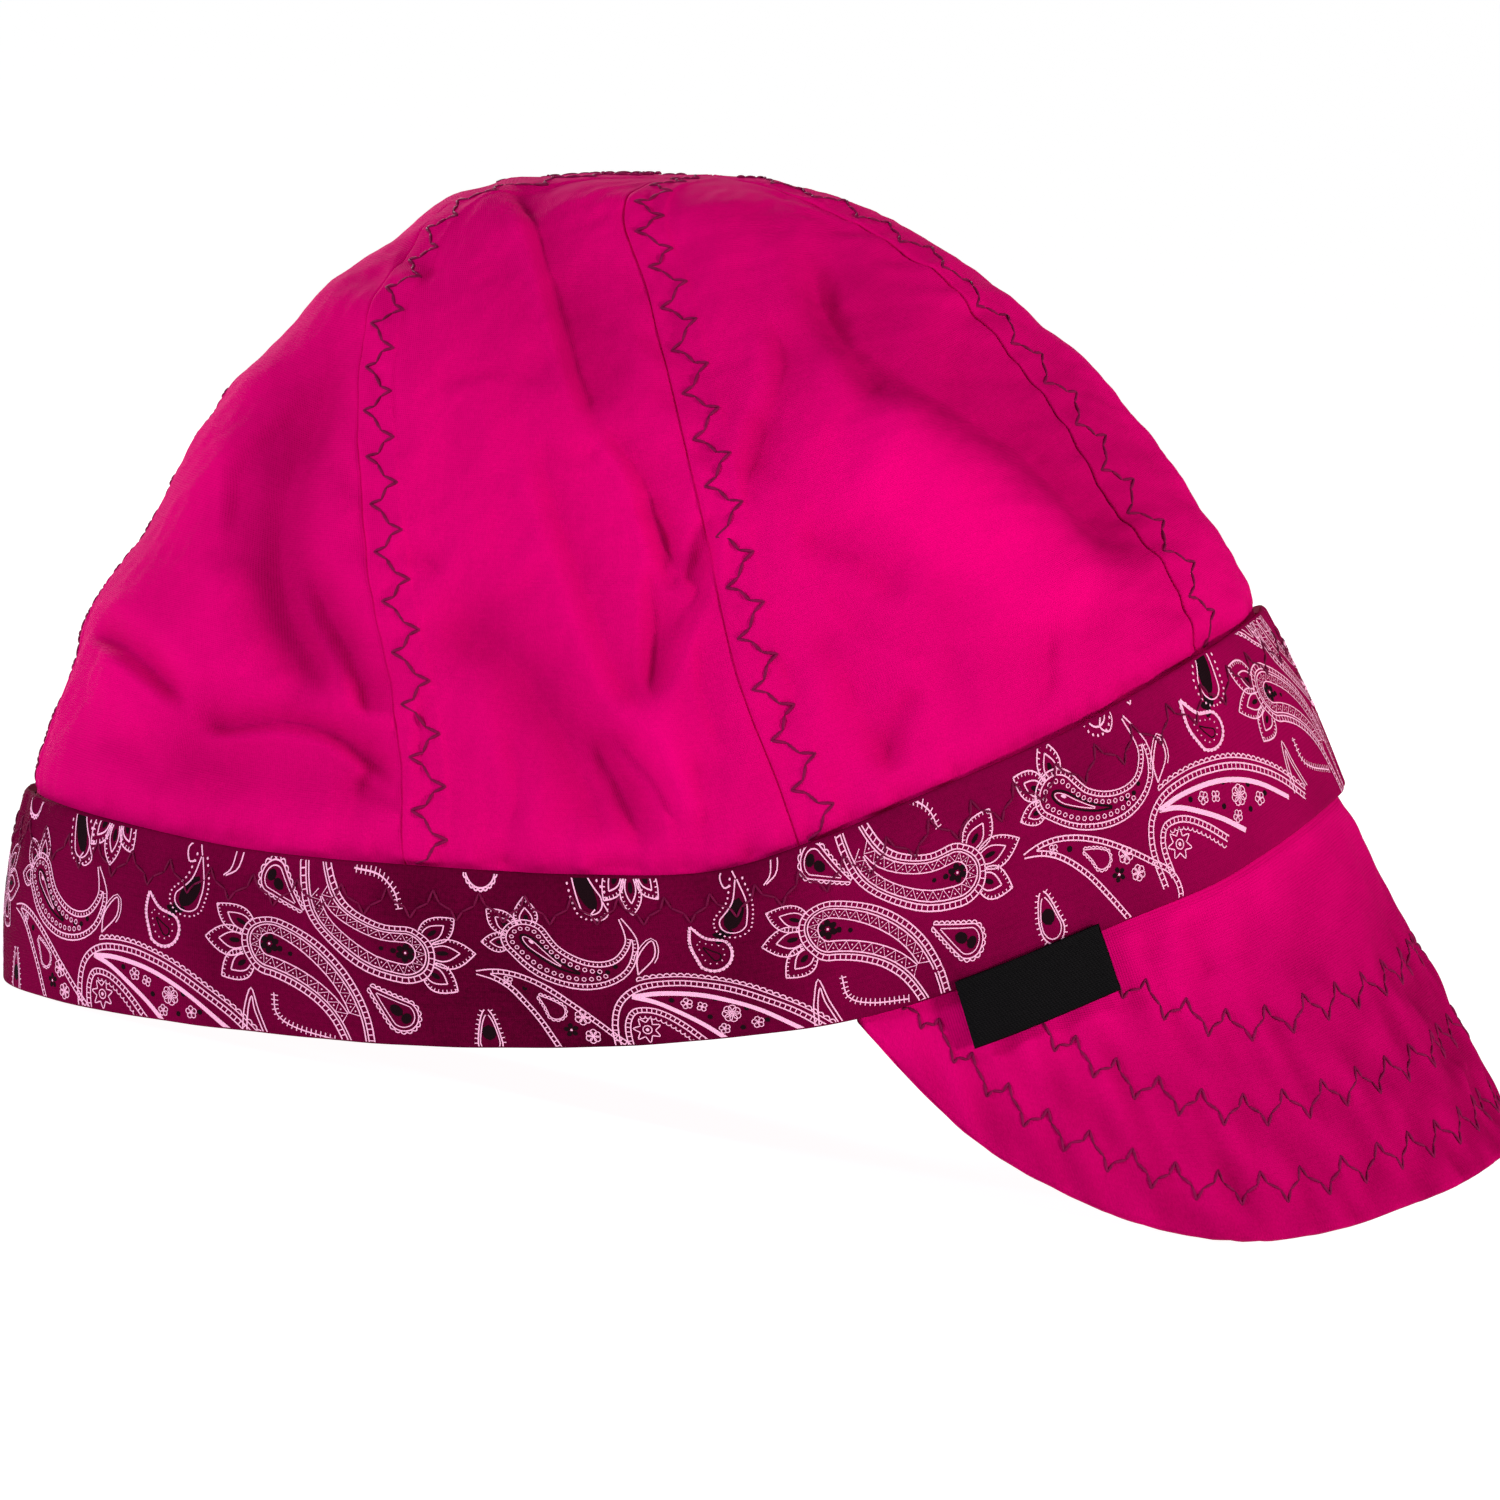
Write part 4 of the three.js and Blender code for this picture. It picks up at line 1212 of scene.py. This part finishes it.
def peak_cloth(along, drop, face):
    """A point of the peak's outer (1) or under (-1) face, in mm."""
    at = smooth_peak(along, drop)
    normal = facing(smooth_peak, along, drop, 0.02, -1.0)
    run = np.abs(along) * half_edge
    gap = to_edge(at)
    lift = 0.35 * ripple(run, drop, 30, 31) + 0.1 * ripple(run, drop, 9, 32)
    for row in peak_row_gaps:
        close = np.exp(-(((gap - row) / 4.5) ** 2))
        lift = lift - 0.3 * close + 0.24 * close * np.sin(2 * math.pi * run / peak_step + row)
    lift = lift + 0.3 * np.exp(-((gap / 7) ** 2)) * ripple(run, 0 * run, 5, 33)
    lift = lift + 0.16 * ripple(run, drop, 14, 34) + 0.2 * peak_puckers(along, drop, gap)
    lift = (lift + peak_relief(at)) * ease((drop + 1) / 6)
    half = peak_wall / 2 * rounded(gap / 1.4)
    mid = -1.35 - peak_wall / 2
    return at + normal * (mid + lift + face * half)[..., None], normal


def on_peak(a, b):
    # from the hidden root down the outer face, round the edge and back up the under face
    along = (a - 0.5) * 2 * 0.998
    share = 1 - np.abs(b - 0.5) * 2
    return along, -5 + (peak_reach(along) + 5) * (1 - (1 - share) ** 1.35)


def peak_place(a, b):
    return peak_cloth(*on_peak(a, b), np.where(b < 0.5, 1, -1))[0]


# Painted light and shade for the peak's colour: painted shade in its folds and wrinkles, painted light by
# the band.
def peak_painted_shading(a, b):
    along, drop = on_peak(a, b)
    # painted light near the band and painted shade towards the middle of the front
    painted_gradient = 0.52 * np.exp(-((drop / 19) ** 2)) - 0.26 - 0.22 * ease((0.5 - np.abs(along)) / 0.4)
    at = smooth_peak(along, drop)
    # painted shade and light on the wrinkles that the stitch rows draw
    painted_pucker_shade = 0.1 * peak_puckers(along, drop, to_edge(at))
    return np.clip(peak_relief(at) / 5 + painted_gradient + painted_pucker_shade, -0.55, 0.42)


def peak_uv(a, b):
    return (a - 0.5) * 2 * half_edge, b * 140


def close_shell(mesh, reach):
    """Join the meeting edges of a folded sheet and fill its open ends."""
    bm = bmesh.new()
    bm.from_mesh(mesh)
    bmesh.ops.remove_doubles(bm, verts=bm.verts, dist=reach)
    open_edges = [edge for edge in bm.edges if edge.is_boundary]
    bmesh.ops.holes_fill(bm, edges=open_edges, sides=0)
    bmesh.ops.recalc_face_normals(bm, faces=bm.faces)
    bm.to_mesh(mesh)
    bm.free()


peak_mesh = cloth_grid("peak_cloth", 230, 150, peak_place, peak_uv, painted_shading=peak_painted_shading)
close_shell(peak_mesh, 2e-6)
# the crown's pink cotton, painted darker as shade
peak_cotton_painted_darker = cotton("peak_cotton_painted_darker", (0.66, 0.0002, 0.142), (0.26, 0.0001, 0.052))
add_piece("peak_cloth", peak_mesh, peak_cotton_painted_darker, ["peak"])

peak_stitch_rows = []
for row, ends in zip(peak_row_gaps, peak_row_ends):
    along = np.linspace(-ends, ends, 241)
    low, high = np.full_like(along, 0.2), peak_reach(along)
    # halve the stretch that holds the row until the row is found
    for _ in range(18):
        middle = (low + high) / 2
        far = to_edge(smooth_peak(along, middle)) > row
        low, high = np.where(far, middle, low), np.where(far, high, middle)
    drop = (low + high) / 2
    line = smooth_peak(along, drop)
    run = run_along(line)
    holes = zigzag_points(run[-1], peak_step, peak_row_width)
    hole_along = np.interp(holes[:, 0], run, along)
    hole_drop = np.interp(holes[:, 0], run, drop)
    slope = np.gradient(drop, run)
    hole_slope = np.interp(holes[:, 0], run, slope)
    step_drop = holes[:, 1] * np.cos(np.arctan(hole_slope))
    step_run = -holes[:, 1] * np.sin(np.arctan(hole_slope))
    hole_along = np.interp(np.clip(holes[:, 0] + step_run, 0, run[-1]), run, along)
    hole_drop = np.maximum(hole_drop + step_drop, 0.3)
    peak_stitch_rows.append(peak_cloth(hole_along, hole_drop, np.ones_like(hole_along)))
sew("peak_stitches", peak_stitch_rows, radius=0.24)


# Side label: a small tab of black satin ribbon, ends folded under, sewn over the band's lower edge
# on the wearer's right. It is blank.
label_left, label_right = 0.1745 / peak_half_root, 0.1315 / peak_half_root
label_width, label_height, label_over, label_wall = 25.4, 11.6, 1.5, 0.9


def label_place(a, b):
    along = label_right + (label_left - label_right) * a
    face = np.where(b < 0.5, 1, -1)
    share = 1 - np.abs(b - 0.5) * 2
    # b runs from the top down the outer face and back up the inner one
    drop = -label_over + label_height * share
    at = smooth_peak(along, drop)
    normal = facing(smooth_peak, along, drop, 0.02, -1.5)
    off = 0.95 - 1.5 * ease(drop / label_height)
    side = np.minimum(a, 1 - a) * label_width
    edge = np.minimum.reduce((side, share * label_height + 0.35, (1 - share) * label_height))
    half = label_wall / 2 * np.maximum(rounded(edge / 0.5), math.sqrt(0.02))
    curl = 0.5 * ease((a - 0.8) / 0.2) * ease(share) + 0.35 * ease((0.2 - a) / 0.2) * ease(share)
    lift = off + label_wall / 2 + face * half + curl + 0.12 * np.sin(a * 9 + 1) * share
    return at + normal * lift[:, None]


def label_uv(a, b):
    return a * label_width, b * 2 * label_height


satin, make = new_material("black_satin")
satin_uv = make.node("ShaderNodeUVMap", {"uv_map": "cloth"})
satin_split = make.node("ShaderNodeSeparateXYZ", inputs={0: satin_uv})
satin_v = Value(make.tree, satin_split.socket.node.outputs[1])
weft_rib = satin_v.wave(0.34)
warp_rib = (satin_split * (2 * math.pi / 0.5) + satin_v * (2 * math.pi / 1.1)).math("SINE")
lint = make.noise(satin_uv, 3.0, 5.0)
satin_stops = ((0.3, (0.0006, 0.0005, 0.0006)), (0.85, (0.0045, 0.0038, 0.0045)))
satin_mix = lint * 0.7 + weft_rib * 0.12 + warp_rib * 0.1 + 0.15
satin_colour = make.ramp(satin_stops, satin_mix)
satin_height = weft_rib * 0.4 + warp_rib * 0.3 + lint * 0.5
satin_inputs = {"Strength": 0.6, "Distance": 0.0001, "Height": satin_height}
satin_bump = make.node("ShaderNodeBump", inputs=satin_inputs)
satin_rough = lint * 0.2 + 0.5
make.surface({
    "Base Color": satin_colour,
    "Roughness": satin_rough,
    "Specular IOR Level": 0.05,
    "Normal": satin_bump,
})
label_mesh = cloth_grid("label_tab", 60, 64, label_place, label_uv)
close_shell(label_mesh, 1e-6)
add_piece("label_tab", label_mesh, satin, ["side_label"])
